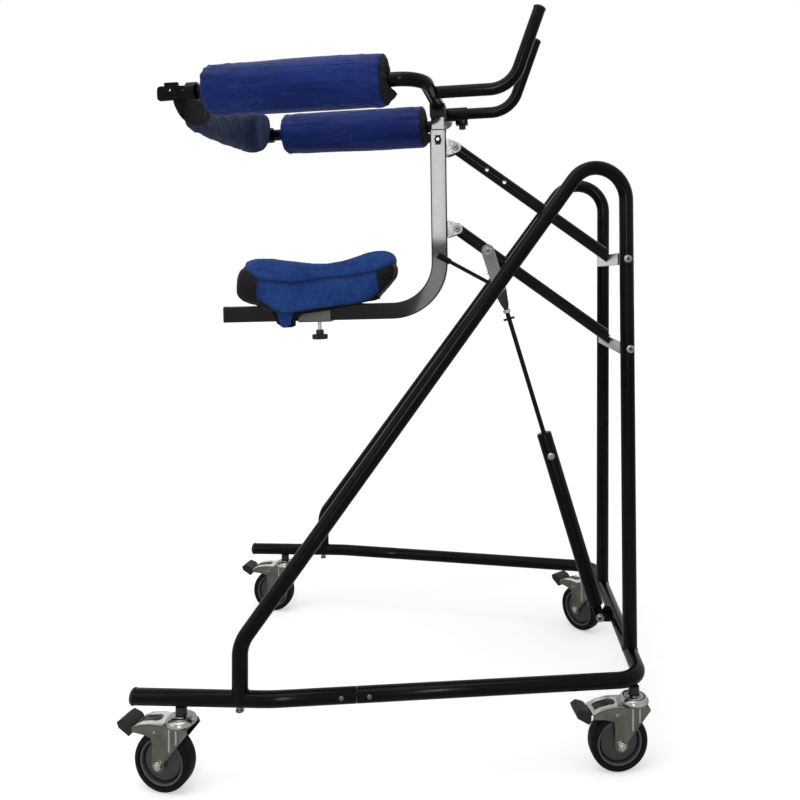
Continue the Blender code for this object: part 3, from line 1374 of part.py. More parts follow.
def caster_fork(name, swivel):
    half = FORK_HALF_WIDTH
    fork = plate(f"fork_{name}", fork_outline(), -half, half, swivel)
    inner = half - FORK_PLATE
    hollow = box(
        f"fork_hollow_{name}",
        (-2 * FORK_SHELF_REACH, -inner, 0),
        (2 * FORK_SHELF_REACH, inner, FORK_TOP_HEIGHT - FORK_PLATE),
        swivel,
    )
    slot = box(
        f"fork_slot_{name}",
        (-2 * FORK_SHELF_REACH, -SLOT_HALF_WIDTH, FORK_SHELF_BOTTOM),
        (-SLOT_FRONT_REACH, SLOT_HALF_WIDTH, 2 * FORK_TOP_HEIGHT),
        swivel,
    )
    stem_bore = rod(
        f"fork_stem_bore_{name}",
        (0, 0, FORK_TOP_HEIGHT - 3 * FORK_PLATE),
        (0, 0, FORK_TOP_HEIGHT + 3 * FORK_PLATE),
        STEM_RADIUS + SLIDE_GAP,
        parent=swivel,
    )
    axle_bore = rod(
        f"fork_axle_bore_{name}",
        (-CASTER_TRAIL, -2 * half, WHEEL_RADIUS),
        (-CASTER_TRAIL, 2 * half, WHEEL_RADIUS),
        AXLE_RADIUS + TOUCH_GAP,
        parent=swivel,
    )
    cut(fork, hollow, slot, stem_bore, axle_bore)
    reach = half - FORK_PLATE / 2
    pin = rod(
        f"fork_pedal_pin_{name}",
        (-PEDAL_PIVOT_REACH, -reach, PEDAL_PIVOT_HEIGHT),
        (-PEDAL_PIVOT_REACH, reach, PEDAL_PIVOT_HEIGHT),
        PEDAL_PIN_RADIUS,
        10,
        parent=swivel,
    )
    weld(fork, pin)
    finish(fork, "zinc")
    place = Vector((-CASTER_TRAIL, 0, WHEEL_RADIUS))
    face = half + TOUCH_GAP
    heads = (6, 6)
    axle = bolt(f"axle_{name}", place, face, AXLE_RADIUS, AXLE_HEAD_RADIUS, AXLE_HEAD_THICK, heads, swivel)
    finish(axle, "zinc")


def caster_wheel(name, swivel):
    """The rim on its hub and the tyre round it, as turned rings with a flat of the tyre on the floor."""
    half_step = math.pi / WHEEL_SIDES
    flat_out = 1 / math.cos(half_step)
    place = (-CASTER_TRAIL, 0, WHEEL_RADIUS)
    turn = (math.pi / 2, half_step, 0)
    rim = RIM_RADIUS * flat_out
    bore = (AXLE_RADIUS + PIVOT_GAP) * flat_out
    wheel_profile = [
        (bore, HUB_HALF_WIDTH),
        (HUB_RADIUS, HUB_HALF_WIDTH),
        (HUB_RADIUS, DISC_HALF_WIDTH),
        (RIM_RADIUS - RIM_BAND, DISC_HALF_WIDTH),
        (RIM_RADIUS - RIM_BAND, RIM_HALF_WIDTH),
        (rim, RIM_HALF_WIDTH),
        (rim, -RIM_HALF_WIDTH),
        (RIM_RADIUS - RIM_BAND, -RIM_HALF_WIDTH),
        (RIM_RADIUS - RIM_BAND, -DISC_HALF_WIDTH),
        (HUB_RADIUS, -DISC_HALF_WIDTH),
        (HUB_RADIUS, -HUB_HALF_WIDTH),
        (bore, -HUB_HALF_WIDTH),
        (bore, HUB_HALF_WIDTH),
    ]
    finish(turned(f"wheel_{name}", wheel_profile, WHEEL_SIDES, place, turn, swivel), "wheel_plastic")
    inner = (RIM_RADIUS + TOUCH_GAP) * flat_out
    outer = WHEEL_RADIUS * flat_out
    half = TYRE_HALF_WIDTH
    tyre_profile = [
        (inner, RIM_HALF_WIDTH),
        (outer - 2 * TYRE_SHOULDER, half),
        (outer - TYRE_SHOULDER_SHARE * TYRE_SHOULDER, half - TYRE_SHOULDER_SHARE * TYRE_SHOULDER),
        (outer, half - TYRE_SHOULDER),
        (outer, TYRE_SHOULDER - half),
        (outer - TYRE_SHOULDER_SHARE * TYRE_SHOULDER, TYRE_SHOULDER_SHARE * TYRE_SHOULDER - half),
        (outer - 2 * TYRE_SHOULDER, -half),
        (inner, -RIM_HALF_WIDTH),
        (inner, RIM_HALF_WIDTH),
    ]
    finish(turned(f"tyre_{name}", tyre_profile, WHEEL_SIDES, place, turn, swivel), "tyre_rubber")


def caster_pedal(name, swivel):
    """The brake pedal, which turns on the pin inside the fork."""
    pivot = Vector((-PEDAL_PIVOT_REACH, 0, PEDAL_PIVOT_HEIGHT))
    eye = (0, 0)
    root = PEDAL_PIVOT_REACH - PEDAL_ROOT_REACH
    tip = PEDAL_PIVOT_REACH - PEDAL_TIP_REACH
    rise = -pivot.z
    middle = (PEDAL_ROOT_BOTTOM + PEDAL_ROOT_TOP) / 2 + rise
    neck_end = (root - PEDAL_NECK_LAP, middle + PEDAL_NECK_LAP)
    neck = plate(
        f"pedal_{name}",
        link_outline(eye, neck_end, PEDAL_EYE_RADIUS, PEDAL_NECK_HALF_HEIGHT, 6),
        -PEDAL_NECK_HALF_WIDTH,
        PEDAL_NECK_HALF_WIDTH,
        swivel,
    )
    neck.location = neck.location + pivot
    tread = plate(
        f"pedal_tread_{name}",
        [
            (root, PEDAL_ROOT_TOP + rise),
            (root - TREAD_HEEL, PEDAL_ROOT_TOP + TREAD_HEEL + rise),
            (tip + TREAD_TOP_RUN, PEDAL_TIP_TOP + rise),
            (tip, PEDAL_TIP_TOP - TREAD_NOSE_DROP + rise),
            (tip + TREAD_NOSE_RUN, PEDAL_TIP_BOTTOM + rise),
            (root - TREAD_HEEL, PEDAL_ROOT_BOTTOM + rise),
            (root, PEDAL_ROOT_BOTTOM + TREAD_HEEL + rise),
        ],
        -PEDAL_HALF_WIDTH,
        PEDAL_HALF_WIDTH,
        swivel,
    )
    tread.location = tread.location + pivot
    weld(neck, tread)
    reach = Vector((0, 2 * PEDAL_NECK_HALF_WIDTH, 0))
    bore = rod(
        f"pedal_bore_{name}",
        pivot - reach,
        pivot + reach,
        PEDAL_PIN_RADIUS + PIVOT_GAP,
        10,
        parent=swivel,
    )
    cut(neck, bore)
    finish(neck, "black_plastic")


def build():
    base_rails()
    base_front()
    side_frames()
    cross_bolts()
    arms()
    column()
    mast()
    head = head_frame()
    head_block(head)
    trunk_bar(head)
    handlebar_left(head)
    bar_extensions(head)
    trunk_pads(head)
    back_strap(head)
    seat()
    lever()
    tie_rod()
    spring_strut()
    for name, sign, rear, angle in CASTERS:
        caster(name, sign, rear, angle)


build()
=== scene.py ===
"""The looks of the wheeled walker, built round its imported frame.

Metres, +X forward, +Y to the user's left, +Z up, floor at Z = 0. Places called x run forward from
the rear ends of the base rails, which lie FRAME_MIDDLE_X behind the origin.
"""

from math import acos, atan2, copysign, cos, exp, hypot, pi, radians, sin, sqrt, tan, tau

import bmesh
import bpy
from mathutils import Euler, Matrix, Vector, noise
from mathutils.bvhtree import BVHTree


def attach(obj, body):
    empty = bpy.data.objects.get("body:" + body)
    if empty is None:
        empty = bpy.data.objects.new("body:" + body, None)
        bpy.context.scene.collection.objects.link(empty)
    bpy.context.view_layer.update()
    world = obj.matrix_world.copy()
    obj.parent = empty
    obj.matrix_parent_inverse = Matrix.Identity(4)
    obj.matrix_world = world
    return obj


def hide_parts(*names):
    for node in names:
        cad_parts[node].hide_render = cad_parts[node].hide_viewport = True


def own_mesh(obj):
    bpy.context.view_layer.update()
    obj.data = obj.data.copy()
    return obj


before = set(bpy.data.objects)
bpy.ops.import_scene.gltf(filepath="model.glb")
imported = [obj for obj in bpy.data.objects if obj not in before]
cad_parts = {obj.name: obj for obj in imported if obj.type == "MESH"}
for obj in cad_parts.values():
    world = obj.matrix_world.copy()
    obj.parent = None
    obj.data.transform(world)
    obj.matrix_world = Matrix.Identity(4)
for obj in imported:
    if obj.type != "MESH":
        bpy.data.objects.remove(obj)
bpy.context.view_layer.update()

# Whole object
FRAME_MIDDLE_X = 0.435
SHIFT = Matrix.Translation((-FRAME_MIDDLE_X, 0, 0))
IN_PLACE = Matrix.Identity(4)
SIDES = (("right", -1), ("left", 1))
TUBE_SIDES = 32
GAP = 0.0003

# Looks: a slot, and the finish that goes into it
PAINT = ("black_paint", "gloss_black")
COLUMN_PAINT = ("column_paint", "column_black")
PLASTIC = ("black_plastic", "black_plastic")
BRIGHT = ("zinc", "bright_zinc")
CLEVIS = ("zinc", "clevis_zinc")
FORK = ("zinc", "fork_zinc")

# Round frame tube
TUBE_RADIUS = 0.014
RAIL_HEIGHT = 0.163
RAIL_REAR_Y = 0.367
RAIL_BEND_X = 0.238
RAIL_BEND_RADIUS = 0.3
RAIL_JOINT_X = 0.385
CROSSBAR_X = 0.894
CORNER_Y = 0.272
CORNER_BEND_RADIUS = 0.05
FOOT_X = 0.185
FOOT_TOP_HEIGHT = 0.258
FOOT_BEND_RADIUS = 0.06
APEX_X = 0.891
APEX_Y = 0.134
APEX_HEIGHT = 1.231
APEX_BEND_RADIUS = 0.062
LEG_FOOT_X = 0.894
LEG_FOOT_Y = 0.165

# Lifting linkage
UPPER_FRONT = Vector((0.8918, 0, 0.929))
LOWER_FRONT = Vector((0.8955, 0, 0.752))
ARM_LENGTH = 0.4214
ARM_SLOPE = radians(35.6)
ARM_DIRECTION = Vector((cos(ARM_SLOPE), 0, -sin(ARM_SLOPE)))
UPPER_REAR = UPPER_FRONT - ARM_LENGTH * ARM_DIRECTION
LOWER_REAR = LOWER_FRONT - ARM_LENGTH * ARM_DIRECTION
ARM_RADIUS = 0.0127
ARM_REAR_OVERHANG = 0.008
YOKE_SETBACK = 0.014
YOKE_PLATE = 0.004
BOLT_RADIUS = 0.004
BOLT_HEAD_RADIUS = 0.008
BOLT_HEAD_THICK = 0.0034

# Column, seat rail and mast
COLUMN_HALF = 0.0175
COLUMN_LEAN = radians(0.79)
COLUMN_X = LOWER_REAR.x - 0.0392
COLUMN_TOP_HEIGHT = UPPER_REAR.z + 0.0367
COLUMN_BEND_RADIUS = 0.105
SEAT_RAIL_REAR_X = 0.043
SEAT_RAIL_HEIGHT = 0.81
SEAT_RAIL_RISE = 0.0262
SEAT_RAIL_HEADING = Vector((cos(SEAT_RAIL_RISE), 0, sin(SEAT_RAIL_RISE)))
MAST_HALF = 0.015
MAST_BORE_HALF = MAST_HALF + 0.0004
MAST_RISE = 0.0285
MAST_SCREW_HEIGHT = COLUMN_TOP_HEIGHT - 0.021

# Trunk ring
HEAD_HEIGHT = COLUMN_TOP_HEIGHT + MAST_RISE + 0.0305
HEAD_TURN = Euler((radians(-0.9), radians(-1.8), radians(-4.5)), "XYZ")
TRUNK_BAR_Y = 0.22
TRUNK_BAR_LENGTH = 0.449
TRUNK_BEND_RADIUS = 0.05
EXTENSION_RADIUS = 0.011
EXTENSION_OUT = 0.085
PAD_LENGTH = 0.35
PAD_FRONTS = {"right": 0.077, "left": 0.067}
PAD_RADIUS_FRONT = 0.0494
PAD_RADIUS_REAR = 0.047
PAD_END_RADIUS = 0.034
HANDLE_Y = 0.104
HANDLE_RADIUS = 0.0127
HANDLE_REACH = {"right": 0.164, "left": 0.155}
HANDLE_LEAN = radians(21.3)
HANDLE_RISE = 0.158
HANDLE_BEND_RADIUS = 0.065
SOCKET_RADIUS = 0.0155
SOCKET_FRONT = 0.056

# Strut, lever and tie rod
LEVER_TOP = LOWER_REAR + 0.0811 * ARM_DIRECTION
LEVER_SLOPE = radians(17.65)
LEVER_DIRECTION = Vector((sin(LEVER_SLOPE), 0, -cos(LEVER_SLOPE)))
LEVER_TIE = LEVER_TOP + 0.0864 * LEVER_DIRECTION
LEVER_END = LEVER_TOP + 0.1222 * LEVER_DIRECTION
TIE_REAR = Vector((0.5172, -0.0285, LOWER_REAR.z - 0.0605))
STRUT_SCREW = 0.365
SPRING_FOOT = Vector((0.861, 0, 0.157))
SPRING_DIRECTION = (LEVER_END - SPRING_FOOT).normalized()
SPRING_SPAN = (LEVER_END - SPRING_FOOT).length
SPRING_TUBE_RADIUS = 0.016
SPRING_TUBE_START = 0.027
SPRING_TUBE_END = 0.4155

# Casters
WHEEL_RADIUS = 0.0535
CASTER_TRAIL = 0.031
CASTERS = (
    ("rear_right", 0.082, -0.367, radians(-11)),
    ("front_right", 0.881, -0.267, radians(10)),
    ("rear_left", 0.082, 0.367, radians(-7)),
    ("front_left", 0.881, 0.267, radians(-48)),
)

# Camera, the last four in pixels of the photograph
CAMERA_PLACE = (0.59373, -1.69343, 0.89443)
CAMERA_TURN = 0.041
PHOTO_SIZE = 800
FOCAL_LENGTH = 775
AXIS_COLUMN = 444.38
AXIS_ROW = 276.35


# Materials


class Nodes:
    """A node tree, and short ways to add to it."""

    def __init__(self, tree):
        self.nodes = tree.nodes
        self.links = tree.links

    def link(self, output, socket):
        self.links.new(output, socket)
        return output

    def add(self, kind, place, **values):
        node = self.nodes.new(kind)
        for socket, value in values.items():
            node.inputs[socket].default_value = value
        self.link(place, node.inputs["Vector"])
        return node

    def spread(self, value, low, high, to_low=0, to_high=1):
        node = self.nodes.new("ShaderNodeMapRange")
        for socket, number in zip(node.inputs[1:5], (low, high, to_low, to_high)):
            socket.default_value = number
        self.link(value, node.inputs["Value"])
        return node.outputs["Result"]

    def maths(self, operation, *values):
        node = self.nodes.new("ShaderNodeMath")
        node.operation = operation
        for socket, value in zip(node.inputs, values):
            if isinstance(value, (int, float)):
                socket.default_value = value
            else:
                self.link(value, socket)
        return node.outputs["Value"]


class Finish(Nodes):
    """One material under construction."""

    def __init__(self, name, **sockets):
        self.material = bpy.data.materials.new(name)
        self.material.use_nodes = True
        super().__init__(self.material.node_tree)
        self.shader = self.nodes["Principled BSDF"]
        for socket, value in sockets.items():
            self.shader.inputs[socket.replace("_", " ")].default_value = value
        self.place = self.nodes.new("ShaderNodeTexCoord").outputs["Object"]
        self.tone = self.height = None

    def stretched(self, scale, turn=(0, 0, 0)):
        return self.add("ShaderNodeMapping", self.place, Scale=scale, Rotation=turn).outputs["Vector"]

    def noise(self, scale, detail=2.0, rough=0.5, place=None, distortion=0.0):
        values = {"Scale": scale, "Detail": detail, "Roughness": rough, "Distortion": distortion}
        return self.add("ShaderNodeTexNoise", place or self.place, **values).outputs["Fac"]

    def cells(self, scale):
        return self.add("ShaderNodeTexVoronoi", self.place, Scale=scale).outputs["Distance"]

    def waves(self, scale, axis):
        node = self.add("ShaderNodeTexWave", self.place, Scale=scale, Distortion=0.0)
        node.bands_direction = axis
        return node.outputs["Fac"]

    def attribute(self, name):
        node = self.nodes.new("ShaderNodeAttribute")
        node.attribute_name = name
        return node.outputs["Fac"]

    def edge_wear_and_highlight(self, low, high):
        """One on edges that stand out, nought elsewhere."""
        geometry = self.nodes.new("ShaderNodeNewGeometry")
        return self.spread(geometry.outputs["Pointiness"], low, high)

    def blend(self, factor, first, second):
        node = self.nodes.new("ShaderNodeMix")
        node.data_type = "RGBA"
        for socket, value in ((node.inputs[6], first), (node.inputs[7], second)):
            if isinstance(value, tuple):
                socket.default_value = (*value, 1)
            else:
                self.link(value, socket)
        self.link(factor, node.inputs[0])
        return node.outputs[2]

    def tint(self, factor, color, under=None, share=None):
        """Lays a color over another, or over what came before, as far as the factor says."""
        if share:
            factor = self.maths("MULTIPLY", factor, share)
        tone = self.blend(factor, under or self.tone, color)
        self.tone = self.link(tone, self.shader.inputs["Base Color"])

    def polish(self, scale, detail, low, high):
        rough = self.spread(self.noise(scale, detail), 0.3, 0.7, low, high)
        return self.link(rough, self.shader.inputs["Roughness"])

    def bump(self, height, distance, strength):
        """A relief in metres, laid over any that came before."""
        node = self.nodes.new("ShaderNodeBump")
        node.inputs["Distance"].default_value = distance
        node.inputs["Strength"].default_value = strength
        self.link(height, node.inputs["Height"])
        if self.height:
            self.link(self.height, node.inputs["Normal"])
        self.height = self.link(node.outputs["Normal"], self.shader.inputs["Normal"])

    def weave(self, scale, first, second, distance, strength):
        threads = self.maths("MULTIPLY", self.waves(scale, first), self.waves(scale, second))
        self.bump(threads, distance, strength)


def coated(name, patches, dark, light, polish, grain=None, edges=None, long_way=None, **sockets):
    """Two tones in cloudy patches, an uneven polish, a fine grain and lighter edges: wear on paint and
    plastic, a painted highlight on plated steel.
    """
    coat = Finish(name, **sockets)
    scale, detail, rough, *span = patches
    clouds = coat.noise(scale, detail, rough)
    coat.tint(coat.spread(clouds, *span) if span else clouds, light, dark)
    if edges:
        # lighter edges: wear on paint and plastic, a painted highlight on plated steel
        low, high, rubbed_and_lit = edges
        coat.tint(coat.edge_wear_and_highlight(low, high), rubbed_and_lit)
    coat.polish(*polish)
    if grain:
        scale, detail, distance, strength = grain
        place = coat.stretched(long_way) if long_way else None
        coat.bump(coat.noise(scale, detail, place=place), distance, strength)
    return coat


def zinc(name, light, dark, rough):
    """Plated steel: cloudy patches, fine rolling lines and edges painted brighter as a highlight."""
    # painted highlight: edges lightened to almost twice the light tone, as if they caught the light
    edges = (0.53, 0.62, tuple(min(1, 1.9 * part) for part in light))
    polish = (210, 3, rough - 0.07, rough + 0.09)
    patches = (46, 5, 0.65, 0.3, 0.7)
    grain = (900, 2, 0.00002, 0.6)
    return coated(name, patches, dark, light, polish, grain, edges, (1, 1, 0.08), Metallic=1.0)


def moulded(name, dark, light, rough):
    """Moulded plastic with a fine spark-eroded grain."""
    edges = (0.55, 0.66, tuple(2.2 * part + 0.01 for part in light))
    polish = (140, 3, rough - 0.08, rough + 0.1)
    grain = (1500, 2, 0.00008, 0.5)
    return coated(name, (35, 4, 0.6), dark, light, polish, grain, edges, Specular_IOR_Level=0.25)


def tyre_rubber():
    """Dark tyre rubber, with floor dust on the tread."""
    dark, light = (0.002, 0.0022, 0.0024), (0.005, 0.0052, 0.0056)
    polish, grain = (90, 3, 0.45, 0.62), (700, 3, 0.00008, 0.6)
    rubber = coated("tyre_rubber", (55, 5, 0.7), dark, light, polish, grain, Specular_IOR_Level=0.08)
    rubber.tint(rubber.spread(rubber.noise(170, 4, 0.7), 0.66, 0.84), (0.018, 0.0175, 0.0165))
    return rubber


def drawn_fabric(name, dull, place, clouds, dark, light, highlight_streaks, tint, polish, relief):
    """Coated fabric drawn over foam: cloudy, with painted highlight streaks along the way that it is drawn.
    """
    cover = Finish(name, Specular_IOR_Level=dull)
    way = cover.stretched(*place)
    cover.tint(cover.spread(cover.noise(clouds, 4, 0.6, way), 0.3, 0.7), light, dark)
    scale, rough, distortion, low, high, share = highlight_streaks
    # painted highlight: paler streaks laid along the drawn way, as soft light on the cover
    cover.tint(cover.spread(cover.noise(scale, 5, rough, way, distortion), low, high), tint, share=share)
    cover.polish(*polish)
    scale, distortion, strength = relief
    cover.bump(cover.noise(scale, 4, 0.6, way, distortion), 0.0012, strength)
    return cover


def pad_cover():
    """Shiny blue coated fabric: a close weave under the coating, drawn lengthwise over its foam."""
    cover = drawn_fabric(
        "pad_cover_blue", 0.09, ((0.35, 1.6, 1.6),), 16, (0.0022, 0.009, 0.074), (0.0075, 0.022, 0.14),
        # this line starts with where the painted highlight streaks lie, then their paler blue
        (42, 0.62, 0.6, 0.46, 0.6, 0.3), (0.012, 0.034, 0.19), (70, 4, 0.36, 0.5), (40, 0.8, 0.55),
    )
    aslant = cover.noise(26, 3, 0.5, cover.stretched((0.8, 1.3, 1.1), (0, radians(30), 0)), 1.1)
    away = cover.maths("ABSOLUTE", cover.maths("SUBTRACT", aslant, 0.5))
    lines = cover.spread(away, 0, 0.035, 1, 0)
    folds_and_sheen = cover.maths("MULTIPLY", lines, cover.spread(cover.noise(11, 2), 0.5, 0.62))
    # painted highlight: the aslant crease lines are tinted a paler blue as if they caught the light; the
    # bump below gives their real relief
    cover.tint(folds_and_sheen, (0.02, 0.05, 0.24), share=0.45)
    cover.bump(folds_and_sheen, 0.0016, 0.9)
    cover.weave(520, "X", "Z", 0.00007, 0.5)
    return cover


def strap_cover():
    """The strap's duller slate blue fabric."""
    cover = drawn_fabric(
        "strap_cover_blue", 0.16, ((1.4, 1.4, 0.45), (0, radians(35), 0)), 20,
        # this line ends with where the painted highlight streaks lie; their paler slate blue starts the
        # next
        (0.0085, 0.016, 0.048), (0.017, 0.031, 0.08), (48, 0.6, 0.7, 0.48, 0.62, 0.35),
        (0.03, 0.052, 0.12), (70, 4, 0.42, 0.56), (44, 0.9, 0.6),
    )
    cover.weave(520, "Y", "Z", 0.00008, 0.5)
    return cover


def black_webbing():
    """Black woven webbing."""
    dark, light = (0.0035, 0.0036, 0.004), (0.01, 0.0102, 0.011)
    polish = (110, 3, 0.62, 0.78)
    strap = coated("black_webbing", (80, 4, 0.6), dark, light, polish, Specular_IOR_Level=0.1)
    strap.weave(150, "X", "Z", 0.00035, 0.8)
    return strap


def spacer_mesh():
    """Black spacer mesh: a knit of small open cells with lighter threads between."""
    mesh = Finish("black_spacer_mesh", Specular_IOR_Level=0.1)
    threads = mesh.spread(mesh.cells(330), 0.3, 0.62)
    mesh.tint(threads, (0.017, 0.017, 0.019), (0.0018, 0.0018, 0.002))
    mesh.polish(90, 3, 0.6, 0.8)
    mesh.bump(threads, 0.0006, 0.9)
    return mesh


def saddle_cover():
    """Mid blue mesh cloth over foam, with smooth black panels beyond the seams at front and rear."""
    cloth = Finish("saddle_cover", Specular_IOR_Level=0.12)
    clouds = cloth.spread(cloth.noise(17, 5, 0.65), 0.3, 0.7)
    cloth.tint(clouds, (0.02, 0.068, 0.25), (0.006, 0.029, 0.15))
    cloth.tint(cloth.spread(cloth.noise(120, 4, 0.7), 0.5, 0.72), (0.045, 0.11, 0.33), share=0.35)
    knit = cloth.cells(310)
    cloth.tint(cloth.spread(knit, 0.15, 0.6, 0.6, 0), (0.004, 0.018, 0.09))
    # painted shade: a darker blue band along the side seam, where the seam's groove lies in shadow
    cloth.tint(cloth.attribute("seam_shade"), (0.003, 0.012, 0.075), share=0.62)
    black = cloth.blend(cloth.noise(40, 4, 0.6), (0.0022, 0.0023, 0.0026), (0.006, 0.0062, 0.0068))
    panel = cloth.spread(cloth.attribute("panel"), -0.0006, 0.0006)
    cloth.tint(panel, black)
    smoother = cloth.maths("MULTIPLY", panel, 0.16)
    rough = cloth.maths("SUBTRACT", cloth.polish(90, 3, 0.66, 0.86), smoother)
    cloth.link(rough, cloth.shader.inputs["Roughness"])
    cloth.bump(cloth.noise(34, 4, 0.6), 0.0016, 0.5)
    cloth.bump(knit, 0.0007, 0.8)
    return cloth


def stitch_thread():
    """Dark blue sewing thread."""
    dark, light = (0.004, 0.009, 0.055), (0.01, 0.02, 0.1)
    polish = (200, 2, 0.55, 0.7)
    thread = coated("seam_thread", (300, 2, 0.5), dark, light, polish, Specular_IOR_Level=0.2)
    thread.bump(thread.waves(900, "DIAGONAL"), 0.0001, 0.7)
    return thread


FINISH = {
    "gloss_black": coated(
        "gloss_black_paint", (38, 4, 0.6, 0.35, 0.75), (0.0011, 0.0012, 0.0014), (0.003, 0.0031, 0.0034),
        (120, 3, 0.13, 0.17), (520, 1, 0.00001, 0.4), (0.56, 0.66, (0.02, 0.021, 0.022)),
        Specular_IOR_Level=0.08,
    ),
    "column_black": coated(
        "column_black_paint", (30, 4, 0.6, 0.35, 0.75), (0.0026, 0.0027, 0.003), (0.0062, 0.0063, 0.0068),
        (90, 3, 0.1, 0.16), (420, 1, 0.00002, 0.4),
        Coat_Weight=0.5, Coat_Roughness=0.06, Specular_IOR_Level=0.1,
    ),
    "lever_gray": coated(
        "lever_gray_paint", (60, 4, 0.6), (0.085, 0.088, 0.095), (0.125, 0.128, 0.135),
        (150, 3, 0.34, 0.5), (500, 2, 0.00005, 0.6), (0.54, 0.64, (0.3, 0.31, 0.32)),
    ),
    "bright_zinc": zinc("bright_zinc", (0.34, 0.35, 0.34), (0.17, 0.175, 0.17), 0.22),
    "clevis_zinc": zinc("clevis_zinc", (0.27, 0.275, 0.27), (0.13, 0.135, 0.13), 0.42),
    # painted light: the fork's top plate takes a much paler zinc than the fork's sides, a painted lit top
    # whose rounded edge gives a painted highlight
    "lit_deck_zinc": zinc("lit_deck_zinc", (0.46, 0.49, 0.46), (0.27, 0.29, 0.27), 0.3),
    "fork_zinc": zinc("fork_zinc", (0.15, 0.152, 0.122), (0.085, 0.086, 0.068), 0.24),
    "sleeve_steel": zinc("sleeve_steel", (0.06, 0.061, 0.062), (0.034, 0.035, 0.036), 0.4),
    "black_plastic": moulded(
        "black_moulded_plastic", (0.005, 0.0052, 0.0056), (0.011, 0.0112, 0.012), 0.42
    ),
    "pedal_plastic": moulded("pedal_plastic", (0.0046, 0.0048, 0.0048), (0.0095, 0.0098, 0.0098), 0.48),
    "wheel_disc": moulded("wheel_disc_gray", (0.027, 0.029, 0.029), (0.043, 0.045, 0.044), 0.28),
    "rim_ring": moulded("rim_ring_gray", (0.05, 0.052, 0.052), (0.072, 0.074, 0.073), 0.36),
    "tyre": tyre_rubber(),
    "pad_cover": pad_cover(),
    "strap_cover": strap_cover(),
    "webbing": black_webbing(),
    "spacer_mesh": spacer_mesh(),
    "saddle_cover": saddle_cover(),
    "thread": stitch_thread(),
}


# Making pieces


def as_object(shape, name="tool"):
    mesh = bpy.data.meshes.new(name)
    shape.to_mesh(mesh)
    shape.free()
    item = bpy.data.objects.new(name, mesh)
    bpy.context.scene.collection.objects.link(item)
    return item


def discard(item):
    mesh = item.data
    bpy.data.objects.remove(item)
    bpy.data.meshes.remove(mesh)


def baked(item):
    """The shape of an object with its modifiers; the object goes."""
    bpy.context.view_layer.update()
    mesh = bpy.data.meshes.new_from_object(item.evaluated_get(bpy.context.evaluated_depsgraph_get()))
    shape = bmesh.new()
    shape.from_mesh(mesh)
    discard(item)
    bpy.data.meshes.remove(mesh)
    return shape


def faced(shape):
    bmesh.ops.recalc_face_normals(shape, faces=shape.faces)
    return shape


def moved(shape, matrix):
    bmesh.ops.transform(shape, matrix=matrix, verts=shape.verts)
    return shape


def dress(name, shape, body, look, node=None, place=SHIFT, sharp=35, even=False):
    """Turns a shape into one piece of the walker: in place, in its look, on its body."""
    slot, finish = look
    item = as_object(faced(moved(shape, place)), name)
    item.data.materials.append(FINISH[finish].material)
    item.data.shade_smooth()
    item.data.set_sharp_from_angle(angle=radians(sharp))
    if even:
        item.modifiers.new("faces", "WEIGHTED_NORMAL").keep_sharp = True
    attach(item, body)
    if node:
        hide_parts(node)
    return item


def solid_of(node):
    """A clean copy of a CAD solid: one vertex where corners meet, one face where triangles lie flat."""
    shape = bmesh.new()
    shape.from_mesh(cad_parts[node].data)
    bmesh.ops.remove_doubles(shape, verts=shape.verts, dist=0.00001)
    bmesh.ops.dissolve_limit(shape, angle_limit=radians(1), verts=shape.verts, edges=shape.edges)
    return shape


def softened_solid(name, node, body, look, width, segments):
    """A CAD solid with its edges rounded, where it stands."""
    shape = soften(solid_of(node), width, segments)
    return dress(name, shape, body, look, node, IN_PLACE, even=True)


def across(y):
    return Vector((0, y, 0))


def facing(point, outward):
    """A place at a point with its Z turned outward."""
    return Matrix.Translation(point) @ Vector(outward).to_track_quat("Z", "Y").to_matrix().to_4x4()


def new_verts(made):
    return [part for part in made["geom"] if isinstance(part, bmesh.types.BMVert)]


def rounded(corners, radius, steps=12):
    """The points of a path whose inner corners are arcs of one radius, or of one radius each."""
    corners = [Vector(point) for point in corners]
    radii = radius if isinstance(radius, tuple) else [radius] * (len(corners) - 2)
    points = [corners[0]]
    for before, here, after, radius in zip(corners, corners[1:], corners[2:], radii):
        back = (before - here).normalized()
        ahead = (after - here).normalized()
        half = back.angle(ahead) / 2
        reach = radius / tan(half)
        middle = here + (back + ahead).normalized() * radius / sin(half)
        first = here + back * reach - middle
        turn = pi - 2 * half
        axis = first.cross(here + ahead * reach - middle)
        for step in range(steps + 1):
            points.append(middle + Matrix.Rotation(turn * step / steps, 3, axis) @ first)
    points.append(corners[-1])
    return points


def frames_along(points, closed=False):
    """A frame at each point of a path, its Z along the path, turned no more than the bends need."""
    steps = [(after - before).normalized() for before, after in zip(points, points[1:])]
    if closed:
        steps.append((points[0] - points[-1]).normalized())
    headings = []
    for index in range(len(points)):
        before = steps[index - 1] if index or closed else steps[0]
        after = steps[index] if index < len(steps) else steps[-1]
        headings.append((before + after).normalized())
    turn = headings[0].to_track_quat("Z", "Y")
    last = headings[0]
    frames = []
    for point, heading in zip(points, headings):
        turn = last.rotation_difference(heading) @ turn
        last = heading
        frames.append(Matrix.Translation(point) @ turn.to_matrix().to_4x4())
    return frames


